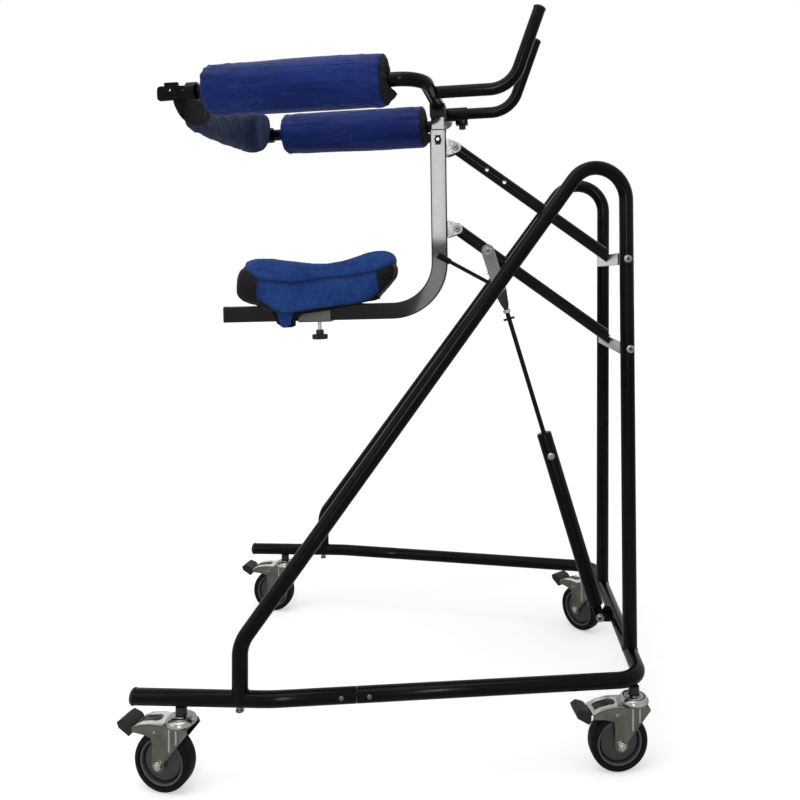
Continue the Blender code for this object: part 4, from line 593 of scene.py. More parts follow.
def swept(points, section, closed=False, sizes=None):
    """A ring of edges drawn along a path, with its ends filled or, when closed, joined."""
    shape = bmesh.new()
    section(shape)
    frames = frames_along([Vector(point) for point in points], closed)
    if sizes:
        frames = [place @ Matrix.Diagonal((size, size, 1, 1)) for place, size in zip(frames, sizes)]
    moved(shape, frames[0])
    first = edges = shape.edges[:]
    for before, after in zip(frames, frames[1:]):
        made = bmesh.ops.extrude_edge_only(shape, edges=edges)
        edges = [part for part in made["geom"] if isinstance(part, bmesh.types.BMEdge) and part.is_boundary]
        bmesh.ops.transform(shape, matrix=after @ before.inverted(), verts=new_verts(made))
    if closed:
        bmesh.ops.bridge_loops(shape, edges=first + edges)
    else:
        for end in (first, edges):
            bmesh.ops.contextual_create(shape, geom=end)
    return shape


def square_section(half, corner):
    """A square with rounded corners."""

    def section(shape):
        bmesh.ops.create_grid(shape, x_segments=1, y_segments=1, size=half)
        round_off(shape, shape.verts[:], "VERTICES", corner, 4)
        bmesh.ops.delete(shape, geom=shape.faces[:], context="FACES_ONLY")

    return section


def round_tube(points, radius, sides=TUBE_SIDES, **how):
    def section(shape):
        bmesh.ops.create_circle(shape, cap_ends=False, radius=radius, segments=sides)

    return swept(points, section, **how)


def bent_tube(corners, bend, steps, radius, edge):
    """A tube along a rounded path, the rims of its ends broken."""
    return soften(round_tube(rounded(corners, bend, steps), radius), edge)


def rod(start, end, radius, sides=24, edge=0.0005):
    """A round bar between two points, its ends chamfered."""
    start, end = Vector(start), Vector(end)
    half = (end - start).length / 2
    profile = [(0, half), (radius - edge, half), (radius, half - edge)]
    profile += [(radius, edge - half), (radius - edge, -half), (0, -half)]
    return turned(profile, sides, facing((start + end) / 2, end - start))


def pin(middle, half, radius, sides=24, edge=0.0005):
    """A round bar along Y, reaching as far to both sides of its middle."""
    return rod(middle - across(half), middle + across(half), radius, sides, edge)


def turned(profile, steps=32, place=IN_PLACE):
    """A profile of (radius, height) points spun round the Z axis."""
    shape = bmesh.new()
    points = [shape.verts.new((radius, 0, height)) for radius, height in profile]
    geometry = points + [shape.edges.new(pair) for pair in zip(points, points[1:])]
    axis = {"cent": (0, 0, 0), "axis": (0, 0, 1)}
    bmesh.ops.spin(shape, geom=geometry, angle=tau, steps=steps, use_merge=True, **axis)
    bmesh.ops.remove_doubles(shape, verts=shape.verts, dist=0.00001)
    return moved(faced(shape), place)


def round_off(shape, geometry, kind, width, segments, **how):
    how.update(offset=width, segments=segments, profile=0.5, affect=kind, material=-1)
    bmesh.ops.bevel(shape, geom=geometry, **how)


def soften(shape, width, segments=2, sharp=35):
    """Rounds every edge that is sharper than an angle."""
    limit = radians(sharp)
    edges = [edge for edge in shape.edges if len(edge.link_faces) == 2 and edge.calc_face_angle() > limit]
    round_off(shape, edges, "EDGES", width, segments, clamp_overlap=True)
    return shape


def plate(outline, low, high, edge=0.0006):
    """A flat outline in the XZ plane made a plate between two Y values, its edges broken."""
    shape = bmesh.new()
    face = shape.faces.new([shape.verts.new((x, low, z)) for x, z in outline])
    made = bmesh.ops.extrude_face_region(shape, geom=[face])
    bmesh.ops.translate(shape, verts=new_verts(made), vec=across(high - low))
    return soften(faced(shape), edge)


def block(low, high, edge=0.001):
    """A box with rounded edges."""
    low, high = Vector(low), Vector(high)
    shape = bmesh.new()
    place = Matrix.Translation((low + high) / 2) @ Matrix.Diagonal((*(high - low), 1))
    bmesh.ops.create_cube(shape, size=1, matrix=place)
    return soften(shape, edge, 3) if edge else shape


def arc(middle, radius, start, end, steps=10):
    """Points of an arc in the XZ plane, its angles in radians from +X towards +Z."""
    angles = [start + (end - start) * step / steps for step in range(steps + 1)]
    return [(middle[0] + radius * cos(turn), middle[1] + radius * sin(turn)) for turn in angles]


def link_outline(first, second, radius):
    """The outline of a strap that runs round two points of the XZ plane."""
    along = atan2(second[1] - first[1], second[0] - first[0])
    tilt = acos(0)
    rear = arc(first, radius, along + tilt, along + tau - tilt, 12)
    return rear + arc(second, radius, along - tilt, along + tilt, 12)


def join(shape, *others):
    """Adds other shapes to a shape."""
    for other in others:
        mesh = bpy.data.meshes.new("joined")
        other.to_mesh(mesh)
        other.free()
        shape.from_mesh(mesh)
        bpy.data.meshes.remove(mesh)
    return shape


def carved(shape, *cutters, operation="DIFFERENCE"):
    """A shape with other shapes cut out of it."""
    item = as_object(faced(shape))
    tools = [as_object(faced(cutter), "cutter") for cutter in cutters]
    for tool in tools:
        step = item.modifiers.new("cut", "BOOLEAN")
        step.operation = operation
        step.object = tool
        step.solver = "EXACT"
    result = baked(item)
    for tool in tools:
        discard(tool)
    return result


def lofted(rings):
    """A closed skin over rings of points."""
    shape = bmesh.new()
    loops = []
    for ring in rings:
        verts = [shape.verts.new(point) for point in ring]
        loops.append([shape.edges.new(pair) for pair in zip(verts, verts[1:] + verts[:1])])
    for first, second in zip(loops, loops[1:]):
        bmesh.ops.bridge_loops(shape, edges=first + second)
    for end in (loops[0], loops[-1]):
        bmesh.ops.contextual_create(shape, geom=end)
    return faced(shape)


def halved(shape, point, normal):
    """What lies on a plane's normal side, closed again."""
    geometry = shape.verts[:] + shape.edges[:] + shape.faces[:]
    bmesh.ops.bisect_plane(shape, geom=geometry, plane_co=point, plane_no=normal, clear_inner=True)
    bmesh.ops.holes_fill(shape, edges=[edge for edge in shape.edges if edge.is_boundary])
    return shape


def mirrored(half):
    """A closed profile from its upper half."""
    return half + [(radius, -height) for radius, height in reversed(half)] + [half[0]]


def column_point(height):
    return Vector((COLUMN_X + (LOWER_REAR.z - height) * tan(COLUMN_LEAN), 0, height))


HEAD = SHIFT @ Matrix.Translation(column_point(HEAD_HEIGHT)) @ HEAD_TURN.to_matrix().to_4x4()


def rail_y(x):
    slope = (RAIL_REAR_Y - CORNER_Y) / (CROSSBAR_X - RAIL_BEND_X)
    return RAIL_REAR_Y - slope * max(0, x - RAIL_BEND_X)


def leg_y(height):
    share = (height - RAIL_HEIGHT) / (APEX_HEIGHT - RAIL_HEIGHT)
    return LEG_FOOT_Y + (APEX_Y - LEG_FOOT_Y) * share


def seat_rail_height(x):
    return SEAT_RAIL_HEIGHT + (x - SEAT_RAIL_REAR_X) * tan(SEAT_RAIL_RISE)


def seat_rail_point(x):
    return Vector((x, 0, seat_rail_height(x)))


# Padded fabric

CLOTH_FRAMES = 20


def subdivided(shape, levels=1):
    """The shape after smooth subdivision."""
    item = as_object(shape)
    soft = item.modifiers.new("soft", "SUBSURF")
    soft.levels = soft.render_levels = levels
    return baked(item)


def puffed(shape, held, cap, voxel=0.005, pressure=4.0, spare=0.03):
    """A cover blown up over its foam. held says which points stay, and cap is the most that one moves."""
    item = as_object(shape)
    voxels = item.modifiers.new("voxels", "REMESH")
    voxels.mode = "VOXEL"
    voxels.voxel_size = voxel
    item = as_object(baked(item))
    rest = [vert.co.copy() for vert in item.data.vertices]
    pins = item.vertex_groups.new(name="held")
    pins.add([index for index, point in enumerate(rest) if held(point)], 1.0, "REPLACE")
    step = item.modifiers.new("cloth", "CLOTH")
    cloth = step.settings
    cloth.quality = 6
    cloth.mass = 0.25
    cloth.tension_stiffness = cloth.compression_stiffness = 18
    cloth.shear_stiffness = 8
    cloth.bending_stiffness = 0.4
    cloth.vertex_group_mass = "held"
    cloth.use_pressure = True
    cloth.uniform_pressure_force = pressure
    cloth.shrink_min = -spare
    cloth.effector_weights.gravity = 0
    scene = bpy.context.scene
    for number in range(1, CLOTH_FRAMES + 1):
        scene.frame_set(number)
    shape = baked(item)
    scene.frame_set(1)
    for vert, start in zip(shape.verts, rest):
        shift = vert.co - start
        if shift.length > cap:
            vert.co = start + shift.normalized() * cap
    return subdivided(shape)


def lying_on(tree, points, direction, lift=0.0004):
    """Each point brought along a direction on to a skin, and lifted off it a little."""
    found = []
    for point in points:
        place, normal, _, _ = tree.ray_cast(point, direction)
        if place:
            found.append(place + normal * lift)
    return found


def crest(place, narrow):
    """One along the lines where the noise field crosses nought, falling off to both sides."""
    return 1 - min(1, abs(noise.noise(place)) * narrow)


# Fasteners


def dome(count, steps, radius, height, flat=0.0, low=0.3):
    """Profile points over a rounded top; flat and low are the shares left straight."""
    points = []
    for step in range(1, count + 1):
        turn = pi / 2 * step / steps
        points.append((radius * (flat + (1 - flat) * cos(turn)), height * (low + (1 - low) * sin(turn))))
    return points


def hexagon(radius, depth, height):
    shape = bmesh.new()
    size = {"radius1": radius, "radius2": radius, "depth": depth}
    place = Matrix.Translation((0, 0, height))
    bmesh.ops.create_cone(shape, cap_ends=True, segments=6, matrix=place, **size)
    return shape


def socket_head(middle, outward, radius, thick):
    """A button head with a hexagonal socket, standing outward from a face."""
    profile = [(0, 0), (radius, 0), (radius, thick * 0.35)] + dome(5, 6, radius, thick, 0.62, 0.35)
    head = turned(profile + [(radius * 0.6, thick), (0, thick)])
    return moved(carved(head, hexagon(radius * 0.45, thick * 1.2, thick)), facing(middle, outward))


def hex_nut(middle, outward, radius, thick, stud=0.0036):
    """A chamfered hexagonal nut with the end of its bolt showing."""
    wide = radius * 1.3
    crown = turned([(0, -thick), (wide, -thick), (wide, thick * 0.35), (radius * 0.86, thick), (0, thick)])
    nut = carved(hexagon(radius, thick, thick / 2), crown, operation="INTERSECT")
    top = thick * 1.3
    end = turned([(0, 0), (stud, 0), (stud, thick * 1.15), (stud * 0.8, top), (0, top)], 20)
    return moved(join(nut, end), facing(middle, outward))


def washer(middle, outward, radius, thick):
    edge = thick * 0.3
    profile = [(0, 0), (radius - edge, 0), (radius, edge), (radius, thick - edge), (radius - edge, thick)]
    return turned(profile + [(0, thick)], 32, facing(middle, outward))


def cross_head(middle, outward, radius, thick):
    """A pan head with a cross recess."""
    profile = [(0, 0), (radius, 0), (radius, thick * 0.3)] + dome(6, 6, radius, thick)
    wide, narrow, low = radius * 0.62, radius * 0.16, thick * 0.55
    slots = [block((-a, -b, low), (a, b, thick * 2), 0) for a, b in ((wide, narrow), (narrow, wide))]
    return moved(carved(turned(profile, 28), *slots), facing(middle, outward))


def end_plug(point, outward, radius, depth, flange=0.0007):
    """A rounded plastic plug in the end of a round tube."""
    profile = [(0, 0), (radius + flange, 0), (radius + flange, depth * 0.25)]
    return turned(profile + dome(7, 7, radius, depth), TUBE_SIDES, facing(point, outward))


def weld_bead(radius, place):
    """The weld round an upright tube that stands on a frame tube along X, as a lumpy closed ring."""
    thick, steps = 0.0016, 48
    points = []
    for step in range(steps):
        turn = tau * step / steps
        y = radius * sin(turn)
        points.append((radius * cos(turn), y, sqrt(max(0, TUBE_RADIUS**2 - y**2))))
    sizes = [1 + 0.22 * sin(step * 2.6) for step in range(steps)]
    return moved(round_tube(points, thick, 10, closed=True, sizes=sizes), place)


def socket_dark(name, body, spots):
    """The shadow down the sockets of some bolt heads: (face, outward, head radius, head thickness) each."""
    discs = []
    for face, outward, radius, thick in spots:
        outward = Vector(outward)
        ends = [face + outward * (thick * share) for share in (0.42, 0.93)]
        discs.append(rod(*ends, radius * 0.44, 6, 0))
    # painted shadow: dark discs in the black plastic finish, set down each socket
    dress(name, join(*discs), body, ("zinc", "black_plastic"))


def pivot_bolt(name, body, middle, face, node):
    """A bolt across the walker: its head on the right and its nut on the left, each on a washer."""
    thick = 0.001
    spot = (middle - across(face) - across(thick), (0, -1, 0), 0.007, 0.003)
    parts = [
        washer(middle - across(face), (0, -1, 0), 0.0088, thick),
        socket_head(*spot),
        washer(middle + across(face), (0, 1, 0), 0.0088, thick),
        hex_nut(middle + across(face) + across(thick), (0, 1, 0), 0.0074, 0.0028),
    ]
    dress(name, join(pin(middle, face + 0.001, BOLT_RADIUS), *parts), body, CLEVIS, node)
    # painted shadow down the head's socket
    socket_dark(f"{name}_socket", body, [spot])


# Base


def base():
    slope = Vector((RAIL_JOINT_X - RAIL_BEND_X, RAIL_REAR_Y - rail_y(RAIL_JOINT_X), 0)).normalized()
    for side, sign in SIDES:
        y = sign * RAIL_REAR_Y
        start = (0, y, RAIL_HEIGHT)
        joint = (RAIL_JOINT_X - 0.0001, sign * rail_y(RAIL_JOINT_X), RAIL_HEIGHT)
        corners = [start, (RAIL_BEND_X, y, RAIL_HEIGHT), joint]
        rail = bent_tube(corners, RAIL_BEND_RADIUS, 12, TUBE_RADIUS, 0.0012)
        dress(f"rail_tube_{side}", rail, "base", PAINT, f"base_rail_{side}")
        dress(f"rail_plug_{side}", end_plug(start, (-1, 0, 0), TUBE_RADIUS, 0.0085), "base", PLASTIC)
        outward = Vector((slope.y, sign * slope.x, 0.15)).normalized()
        screws = []
        for x in (0.359, 0.407):
            middle = Vector((x, sign * rail_y(x), RAIL_HEIGHT)) + outward * (TUBE_RADIUS - 0.0004)
            screws.append(cross_head(middle, outward, 0.0042, 0.0016))
        dress(f"rail_screws_{side}", join(*screws), "base", FORK)
        shank = rod((FOOT_X, y, RAIL_HEIGHT - TUBE_RADIUS + 0.001), (FOOT_X, y, 0.1445), 0.0045)
        head = socket_head((FOOT_X, y, 0.145), (0, 0, -1), 0.0075, 0.0045)
        dress(f"foot_bolt_{side}", join(shank, head), "base", FORK)
    start_x = RAIL_JOINT_X + 0.0001
    half = [(start_x, rail_y(start_x)), (CROSSBAR_X, CORNER_Y)]
    corners = [(x, -y, RAIL_HEIGHT) for x, y in half] + [(x, y, RAIL_HEIGHT) for x, y in half[::-1]]
    front = bent_tube(corners, CORNER_BEND_RADIUS, 16, TUBE_RADIUS, 0.0012)
    dress("front_rail_tube", front, "base", PAINT, "base_front_tube")
    weld_x = CROSSBAR_X - TUBE_RADIUS * 0.7
    outline = [(weld_x, 0.1465), (weld_x, 0.1795), (0.874, 0.183)]
    outline += arc((SPRING_FOOT.x, SPRING_FOOT.z), 0.0105, radians(75), radians(250), 18)
    lug = plate(outline, -0.003, 0.003, 0.0008)
    dress("strut_lug", join(lug, pin(SPRING_FOOT, 0.012, 0.004)), "base", PAINT)
    for side, sign in SIDES:
        y, leg = sign * RAIL_REAR_Y, sign * LEG_FOOT_Y
        low = RAIL_HEIGHT + TUBE_RADIUS * 0.4
        corners = [(FOOT_X, y, low), (FOOT_X, y, FOOT_TOP_HEIGHT)]
        corners += [(APEX_X, sign * APEX_Y, APEX_HEIGHT), (LEG_FOOT_X, leg, low)]
        points = rounded(corners, (FOOT_BEND_RADIUS, APEX_BEND_RADIUS), 18)
        dress(f"side_tube_{side}", round_tube(points, TUBE_RADIUS), "base", PAINT, f"side_frame_{side}")
        quarter = Matrix.Rotation(pi / 2, 4, "Z")
        places = (
            Matrix.Translation((FOOT_X, y, RAIL_HEIGHT)),
            Matrix.Translation((LEG_FOOT_X, leg, RAIL_HEIGHT)) @ quarter,
        )
        welds = [weld_bead(TUBE_RADIUS, place) for place in places]
        dress(f"side_welds_{side}", join(*welds), "base", PAINT)


def cross_bolts():
    for level, place in (("upper", UPPER_FRONT), ("lower", LOWER_FRONT)):
        face = leg_y(place.z - BOLT_HEAD_RADIUS) + TUBE_RADIUS + GAP
        spots = [
            (place + across(sign * face), (0, sign, 0), BOLT_HEAD_RADIUS, BOLT_HEAD_THICK)
            for _, sign in SIDES
        ]
        bolt = join(pin(place, face, BOLT_RADIUS), *[socket_head(*spot) for spot in spots])
        dress(f"leg_bolt_{level}", bolt, "base", BRIGHT, f"cross_bolt_{level}")
        # painted shadow down both heads' sockets
        socket_dark(f"leg_bolt_socket_shadows_{level}", "base", spots)


def arms():
    for level, front, rear, holes in (
        ("upper", UPPER_FRONT, UPPER_REAR, (0.0835, 0.13)),
        ("lower", LOWER_FRONT, LOWER_REAR, (0.124,)),
    ):
        web = -YOKE_SETBACK - YOKE_PLATE / 2 - GAP
        end = front + ARM_DIRECTION * (web / ARM_DIRECTION.x)
        start = rear - ARM_REAR_OVERHANG * ARM_DIRECTION
        tube = rod(start, end + ARM_DIRECTION * 0.012, ARM_RADIUS, TUBE_SIDES, 0.0012)
        bores = [(rear, BOLT_RADIUS + GAP)] + ([(LEVER_TOP, BOLT_RADIUS + GAP)] if level == "lower" else [])
        bores += [(rear + along * ARM_DIRECTION, 0.004) for along in holes]
        cutters = [pin(point, 2 * ARM_RADIUS, radius, 24, 0) for point, radius in bores]
        past = front + Vector((web + 0.1, 0, 0))
        room = Vector((0.1, 0.05, 0.1))
        cutters.append(block(past - room, past + room, 0))
        dress(f"{level}_arm_tube", carved(tube, *cutters), f"{level}_arm", PAINT, f"{level}_arm")
        softened_solid(f"{level}_arm_yoke", f"arm_yoke_{level}", f"{level}_arm", BRIGHT, 0.0012, 3)


# Column, seat rail and mast


def along_column(low, high, half, corner):
    """A square bar in the column's line, between two heights measured from the column's top."""
    ends = [column_point(COLUMN_TOP_HEIGHT + rise) for rise in (low, high)]
    return swept(ends, square_section(half, corner))


def column():
    end = Vector((SEAT_RAIL_REAR_X, 0, SEAT_RAIL_HEIGHT))
    corners = [column_point(COLUMN_TOP_HEIGHT), column_point(seat_rail_height(COLUMN_X)), end]
    post = swept(rounded(corners, COLUMN_BEND_RADIUS, 20), square_section(COLUMN_HALF, 0.0028))
    post = carved(post, along_column(-0.012, 0.01, MAST_BORE_HALF, 0.0012))
    dress("column_tube", post, "column", COLUMN_PAINT, "column", even=True)
    collar = along_column(GAP, 0.0024, COLUMN_HALF + 0.0003, 0.003)
    collar = carved(collar, along_column(-0.01, 0.02, MAST_BORE_HALF, 0.0012))
    dress("column_top_ring", collar, "column", PLASTIC)
    points = [end - out * SEAT_RAIL_HEADING for out in (0, 0.0022, 0.0034)]
    plug = swept(points, square_section(COLUMN_HALF + 0.0003, 0.003), sizes=(1, 1, 0.9))
    dress("seat_rail_plug", plug, "column", PLASTIC, even=True)
    for level, rear in (("upper", UPPER_REAR), ("lower", LOWER_REAR)):
        softened_solid(f"column_clevis_{level}", f"column_bracket_{level}", "column", CLEVIS, 0.0009, 2)
        face = ARM_RADIUS + 0.0005 + 0.003 + GAP
        pivot_bolt(f"clevis_bolt_{level}", "column", rear, face, f"arm_bolt_{level}")


def mast():
    post = along_column(-0.19, MAST_RISE, MAST_HALF, 0.002)
    dress("mast_tube", post, "mast", COLUMN_PAINT, "mast", even=True)
    screw = column_point(MAST_SCREW_HEIGHT)
    face = screw - across(COLUMN_HALF + 0.0015)
    low = screw + Vector((-0.006, -COLUMN_HALF - 0.0012, -0.0105))
    patch = block(low, screw + Vector((0.006, -COLUMN_HALF, 0.0105)), 0.0004)
    dress("mast_screw_plate", patch, "column", PLASTIC)
    shank = rod(screw - across(MAST_HALF + GAP), face, 0.004)
    tip = rod(face - across(0.008), face - across(0.0102), 0.0031)
    dress("mast_screw_end", tip, "mast_screw", BRIGHT)
    profile = [(0, 0), (0.0068, 0), (0.0075, 0.0008), (0.0075, 0.0062), (0.0066, 0.0078)]
    profile += [(0.004, 0.0084), (0.004, 0.0098), (0, 0.0098)]
    head = turned(profile, 32, facing(face, (0, -1, 0)))
    dress("mast_clamp_screw", join(shank, head), "mast_screw", PLASTIC, "mast_screw")
    softened_solid("head_saddle_block", "head_block", "mast", PLASTIC, 0.0012, 3)


# Trunk ring


def handle(side, start_x, body, node=None):
    sign = -1 if side == "right" else 1
    corner = Vector((HANDLE_REACH[side], sign * HANDLE_Y, 0))
    rise = Vector((tan(HANDLE_LEAN), 0, 1)) * HANDLE_RISE
    points = rounded([(start_x, sign * HANDLE_Y, 0), corner, corner + rise], HANDLE_BEND_RADIUS, 18)
    dress(f"{side}_handle_tube", round_tube(points, HANDLE_RADIUS), body, PAINT, node, HEAD)
    plug = end_plug(points[-1], rise.normalized(), HANDLE_RADIUS, 0.006)
    dress(f"{side}_handle_plug", plug, body, PLASTIC, place=HEAD)


def trunk_ring():
    rear = -TRUNK_BAR_LENGTH
    corners = [(rear, -TRUNK_BAR_Y, 0), (0, -TRUNK_BAR_Y, 0), (0, TRUNK_BAR_Y, 0), (rear, TRUNK_BAR_Y, 0)]
    ring = bent_tube(corners, TRUNK_BEND_RADIUS, 16, TUBE_RADIUS, 0.001)
    dress("ring_tube", ring, "mast", PAINT, "trunk_bar", HEAD)
    handle("right", 0, "mast")
    socket = rod((0, HANDLE_Y, 0), (SOCKET_FRONT, HANDLE_Y, 0), SOCKET_RADIUS, TUBE_SIDES, 0.001)
    low, high = (0.028, HANDLE_Y - 0.011, -SOCKET_RADIUS - 0.01), (SOCKET_FRONT, HANDLE_Y + 0.011, -0.012)
    dress("left_handle_socket", join(socket, block(low, high, 0.0018)), "mast", PAINT, place=HEAD)
    turn = Matrix.Rotation(pi / 2, 4, "Y") @ Matrix.Rotation(pi / 2, 4, "Z")
    spots = ((-HANDLE_Y, HANDLE_RADIUS), (HANDLE_Y, SOCKET_RADIUS))
    welds = [weld_bead(radius, Matrix.Translation((0, y, 0)) @ turn) for y, radius in spots]
    dress("ring_welds", join(*welds), "mast", PAINT, place=HEAD)


def left_handle():
    handle("left", TUBE_RADIUS + 0.0005, "handlebar_left", "handlebar_left")
    top, face = -HANDLE_RADIUS - GAP, -SOCKET_RADIUS - 0.01 - GAP
    shank = rod((0.043, HANDLE_Y, top), (0.043, HANDLE_Y, face), 0.004)
    grip = moved(fluted(0.0078, 0.0098, 10), facing((0.043, HANDLE_Y, face), (0, 0, -1)))
    dress("handle_grip_knob", join(shank, grip), "handle_knob", PLASTIC, "handle_knob", HEAD)


def fluted(radius, height, flutes):
    """A small knob whose edge is fluted for the fingers."""
    shape = bmesh.new()
    made = bmesh.ops.create_circle(shape, cap_ends=True, radius=radius, segments=flutes * 4)
    for index, vert in enumerate(made["verts"]):
        vert.co *= (0.88, 0.955, 1, 0.955)[index % 4]
    up = bmesh.ops.extrude_face_region(shape, geom=shape.faces[:])
    bmesh.ops.translate(shape, verts=new_verts(up), vec=(0, 0, height))
    return soften(faced(shape), height * 0.12, 2, 60)


def bar_extensions():
    outer = -TRUNK_BAR_LENGTH - EXTENSION_OUT
    inner = -TRUNK_BAR_LENGTH + 0.1
    blade_end = -TRUNK_BAR_LENGTH - 0.021
    high, corner = 0.0148, 0.0075
    outline = arc((outer + corner, high - corner), corner, pi, pi / 2, 5)
    outline += [(blade_end, high - 0.0015), (blade_end, 0.0015 - high)]
    outline += arc((outer + corner, corner - high), corner, -pi / 2, -pi, 5)
    near, far, over = outer + 0.0264, outer + 0.057, 0.0064
    profile = [(0.01, 0), (0.0175, 0), (0.019, 0.0015), (0.019, 0.02), (0.0182, 0.0208)]
    profile += [(0.0148, 0.0208), (0.0148, 0.0009), (0.01, 0.0009), (0.01, 0)]
    for side, sign in SIDES:
        y = sign * TRUNK_BAR_Y
        slide = rod((blade_end - 0.0015, y, 0), (inner, y, 0), EXTENSION_RADIUS, TUBE_SIDES, 0.0008)
        holes = [pin(Vector((x, y, over)), 0.03, 0.0034, 20, 0) for x in (near, far, near)]
        blade = carved(plate(outline, y - 0.0026, y + 0.0026, 0.001), *holes[:2])
        patch = block((outer + 0.016, y - 0.004, -0.0052), (outer + 0.0437, y + 0.004, 0.0208), 0.0008)
        cup = turned(profile, TUBE_SIDES, facing((blade_end - 0.0005, y, 0), (1, 0, 0)))
        shape = join(slide, blade, carved(patch, holes[2]), cup)
        node = f"bar_extension_{side}"
        dress(f"end_slide_{side}", shape, f"extension_{side}", PAINT, node, HEAD, even=True)


def swell(shape, size):
    """Scales each point off the Z axis, by what size says for its distance, angle and height."""
    for vert in shape.verts:
        x, y, z = vert.co
        scale = size(hypot(x, y), atan2(y, x), z)
        vert.co.x *= scale
        vert.co.y *= scale


def trunk_pads():
    """Foam rolls in a smooth cover that is drawn in round the bar at both ends."""
    for side, sign in SIDES:
        front = -PAD_FRONTS[side]
        rear = front - PAD_LENGTH
        lying = Matrix.Translation((0, sign * TRUNK_BAR_Y, 0)) @ Matrix.Rotation(pi / 2, 4, "Y")

        def wrinkled(radius, turn, along):
            lift = pad_wrinkle(turn, (along - rear) / PAD_LENGTH, sign) if radius > 0.03 else 0
            return 1 + lift / max(radius, 0.001)

        def creased(radius, turn, along):
            if radius < 0.0215:
                return max(radius, TUBE_RADIUS + 0.0006) / max(radius, 0.001)
            outside = radius > PAD_END_RADIUS
            lift = pad_crease(turn, (along - rear) / PAD_LENGTH, sign) if outside else 0
            return 1 + lift / radius

        shape = turned([(radius, along) for along, radius in pad_profile(rear, front, 24)], 64)
        swell(shape, wrinkled)
        shape = puffed(shape, lambda point: hypot(point.x, point.y) < PAD_END_RADIUS, 0.0035)
        swell(shape, creased)
        look = ("blue_cover", "pad_cover")
        name = f"foam_roll_{side}"
        pad = dress(name, moved(shape, lying), "mast", look, f"trunk_pad_{side}", HEAD, sharp=180)
        cap = turned([(radius, front + along) for along, radius in CAP_PROFILE], 96)
        for vert in cap.verts:
            x, y, z = vert.co
            radius, turn = hypot(x, y), atan2(y, x)
            if radius > 0.016:
                pleat = 0.0013 * sin(turn * 13 + 2 * sin(3 * turn)) * min(1, (0.052 - radius) / 0.02)
                beak = exp(-((turn / 0.55) ** 2)) * exp(-(((radius - 0.029) / 0.011) ** 2))
                vert.co.z += pleat + (0.016 * beak if z > front + 0.004 else 0)
        mesh = ("blue_cover", "spacer_mesh")
        dress(f"roll_cap_{side}", moved(cap, lying), "mast", mesh, place=HEAD, sharp=80)


def pad_crease(turn, share, sign):
    """Fine crease lines that run aslant near a roll's ends."""
    ends = max(0, 1 - 3.2 * min(share, 1 - share))
    slant = turn * 3.2 + share * 26 * sign
    ridge = crest(Vector((cos(turn) * 1.6, sin(turn) * 1.6, slant * 0.35 + 5 * sign)), 7)
    long_ridge = crest(Vector((cos(turn) * 2.4, sin(turn) * 2.4, share * 1.1 + 11 * sign)), 6)
    return 0.0021 * ridge * ends + 0.001 * long_ridge


def pad_profile(rear, front, stations):
    """(along, radius) from the bore at the front, over the outside, to the bore at the rear."""
    bore = TUBE_RADIUS + GAP
    points = [(front, bore)]
    edge, front_edge = 0.013, 0.005
    for step in range(7):
        turn = pi / 2 * step / 6
        along = front - front_edge * (1 - cos(turn))
        points.append((along, PAD_RADIUS_FRONT - front_edge * (1 - sin(turn))))
    for step in range(1, stations):
        share = 1 - step / stations
        along = rear + edge + (PAD_LENGTH - edge - front_edge) * share
        radius = PAD_RADIUS_REAR + (PAD_RADIUS_FRONT - PAD_RADIUS_REAR) * share
        points.append((along, radius + 0.001 * sin(pi * share)))
    for step in range(7):
        turn = pi / 2 * (1 - step / 6)
        points.append((rear + edge * (1 - cos(turn)), PAD_RADIUS_REAR - edge * (1 - sin(turn))))
    return points + [(rear, bore), (front, bore)]


def pad_wrinkle(turn, share, sign):
    """How far the cover lifts off or sinks into its roll."""
    slow = 0.0016 * noise.noise(Vector((2.1 * cos(turn), 2.1 * sin(turn), share * 2.6 + 7 * sign)))
    long_fold = 0.0009 * noise.noise(Vector((5 * cos(turn), 5 * sin(turn), share * 1.3 + 3 * sign)))
    ends = max(0, 1 - 7 * min(share, 1 - share))
    return slow + long_fold + 0.0013 * ends * sin(19 * turn + 2.5 * sin(2 * turn))


# The black mesh cap on a roll's front end, bulging round the bar: (along, radius)
CAP_PROFILE = (
    (0.0010, TUBE_RADIUS + 0.0006), (0.0010, 0.0440), (0.0014, 0.0485), (0.0030, 0.0493),
    (0.0055, 0.0475), (0.0078, 0.0420), (0.0090, 0.0350), (0.0097, 0.0280), (0.0101, 0.0220),
    (0.0103, 0.0180), (0.0100, TUBE_RADIUS + 0.0006), (0.0010, TUBE_RADIUS + 0.0006),
)

# The strap's x, y, top and bottom in the ring's frame, from the right bar across and along the left one
STRAP_HALF_THICK = 0.0075
STRAP_STATIONS = (
    (-0.4955, -0.1900, 0.018, -0.053), (-0.4970, -0.1450, 0.030, -0.064),
    (-0.4978, -0.0740, 0.048, -0.063), (-0.4980, -0.0200, 0.055, -0.062),
    (-0.4980, 0.0240, 0.056, -0.061), (-0.4980, 0.0700, 0.055, -0.058),
    (-0.4978, 0.1140, 0.055, -0.056), (-0.4970, 0.1500, 0.055, -0.054),
    (-0.4935, 0.1750, 0.055, -0.053), (-0.4860, 0.1880, 0.055, -0.051),
    (-0.4750, 0.1925, 0.054, -0.046), (-0.4630, 0.1940, 0.052, -0.039),
    (-0.4530, 0.1940, 0.044, -0.024), (-0.4470, 0.1940, 0.033, -0.006),
)
WEBBING_STATIONS = (
    (-0.5085, -0.2070, 0.006, -0.014), (-0.5035, -0.2062, 0.008, -0.026),
    (-0.4970, -0.2040, 0.010, -0.042), (-0.4900, -0.1960, 0.016, -0.051),
    (-0.4872, -0.1850, 0.020, -0.052), (-0.4868, -0.1450, 0.028, -0.050),
    (-0.4872, -0.1050, 0.036, -0.042), (-0.4875, -0.0700, 0.040, -0.018),
)


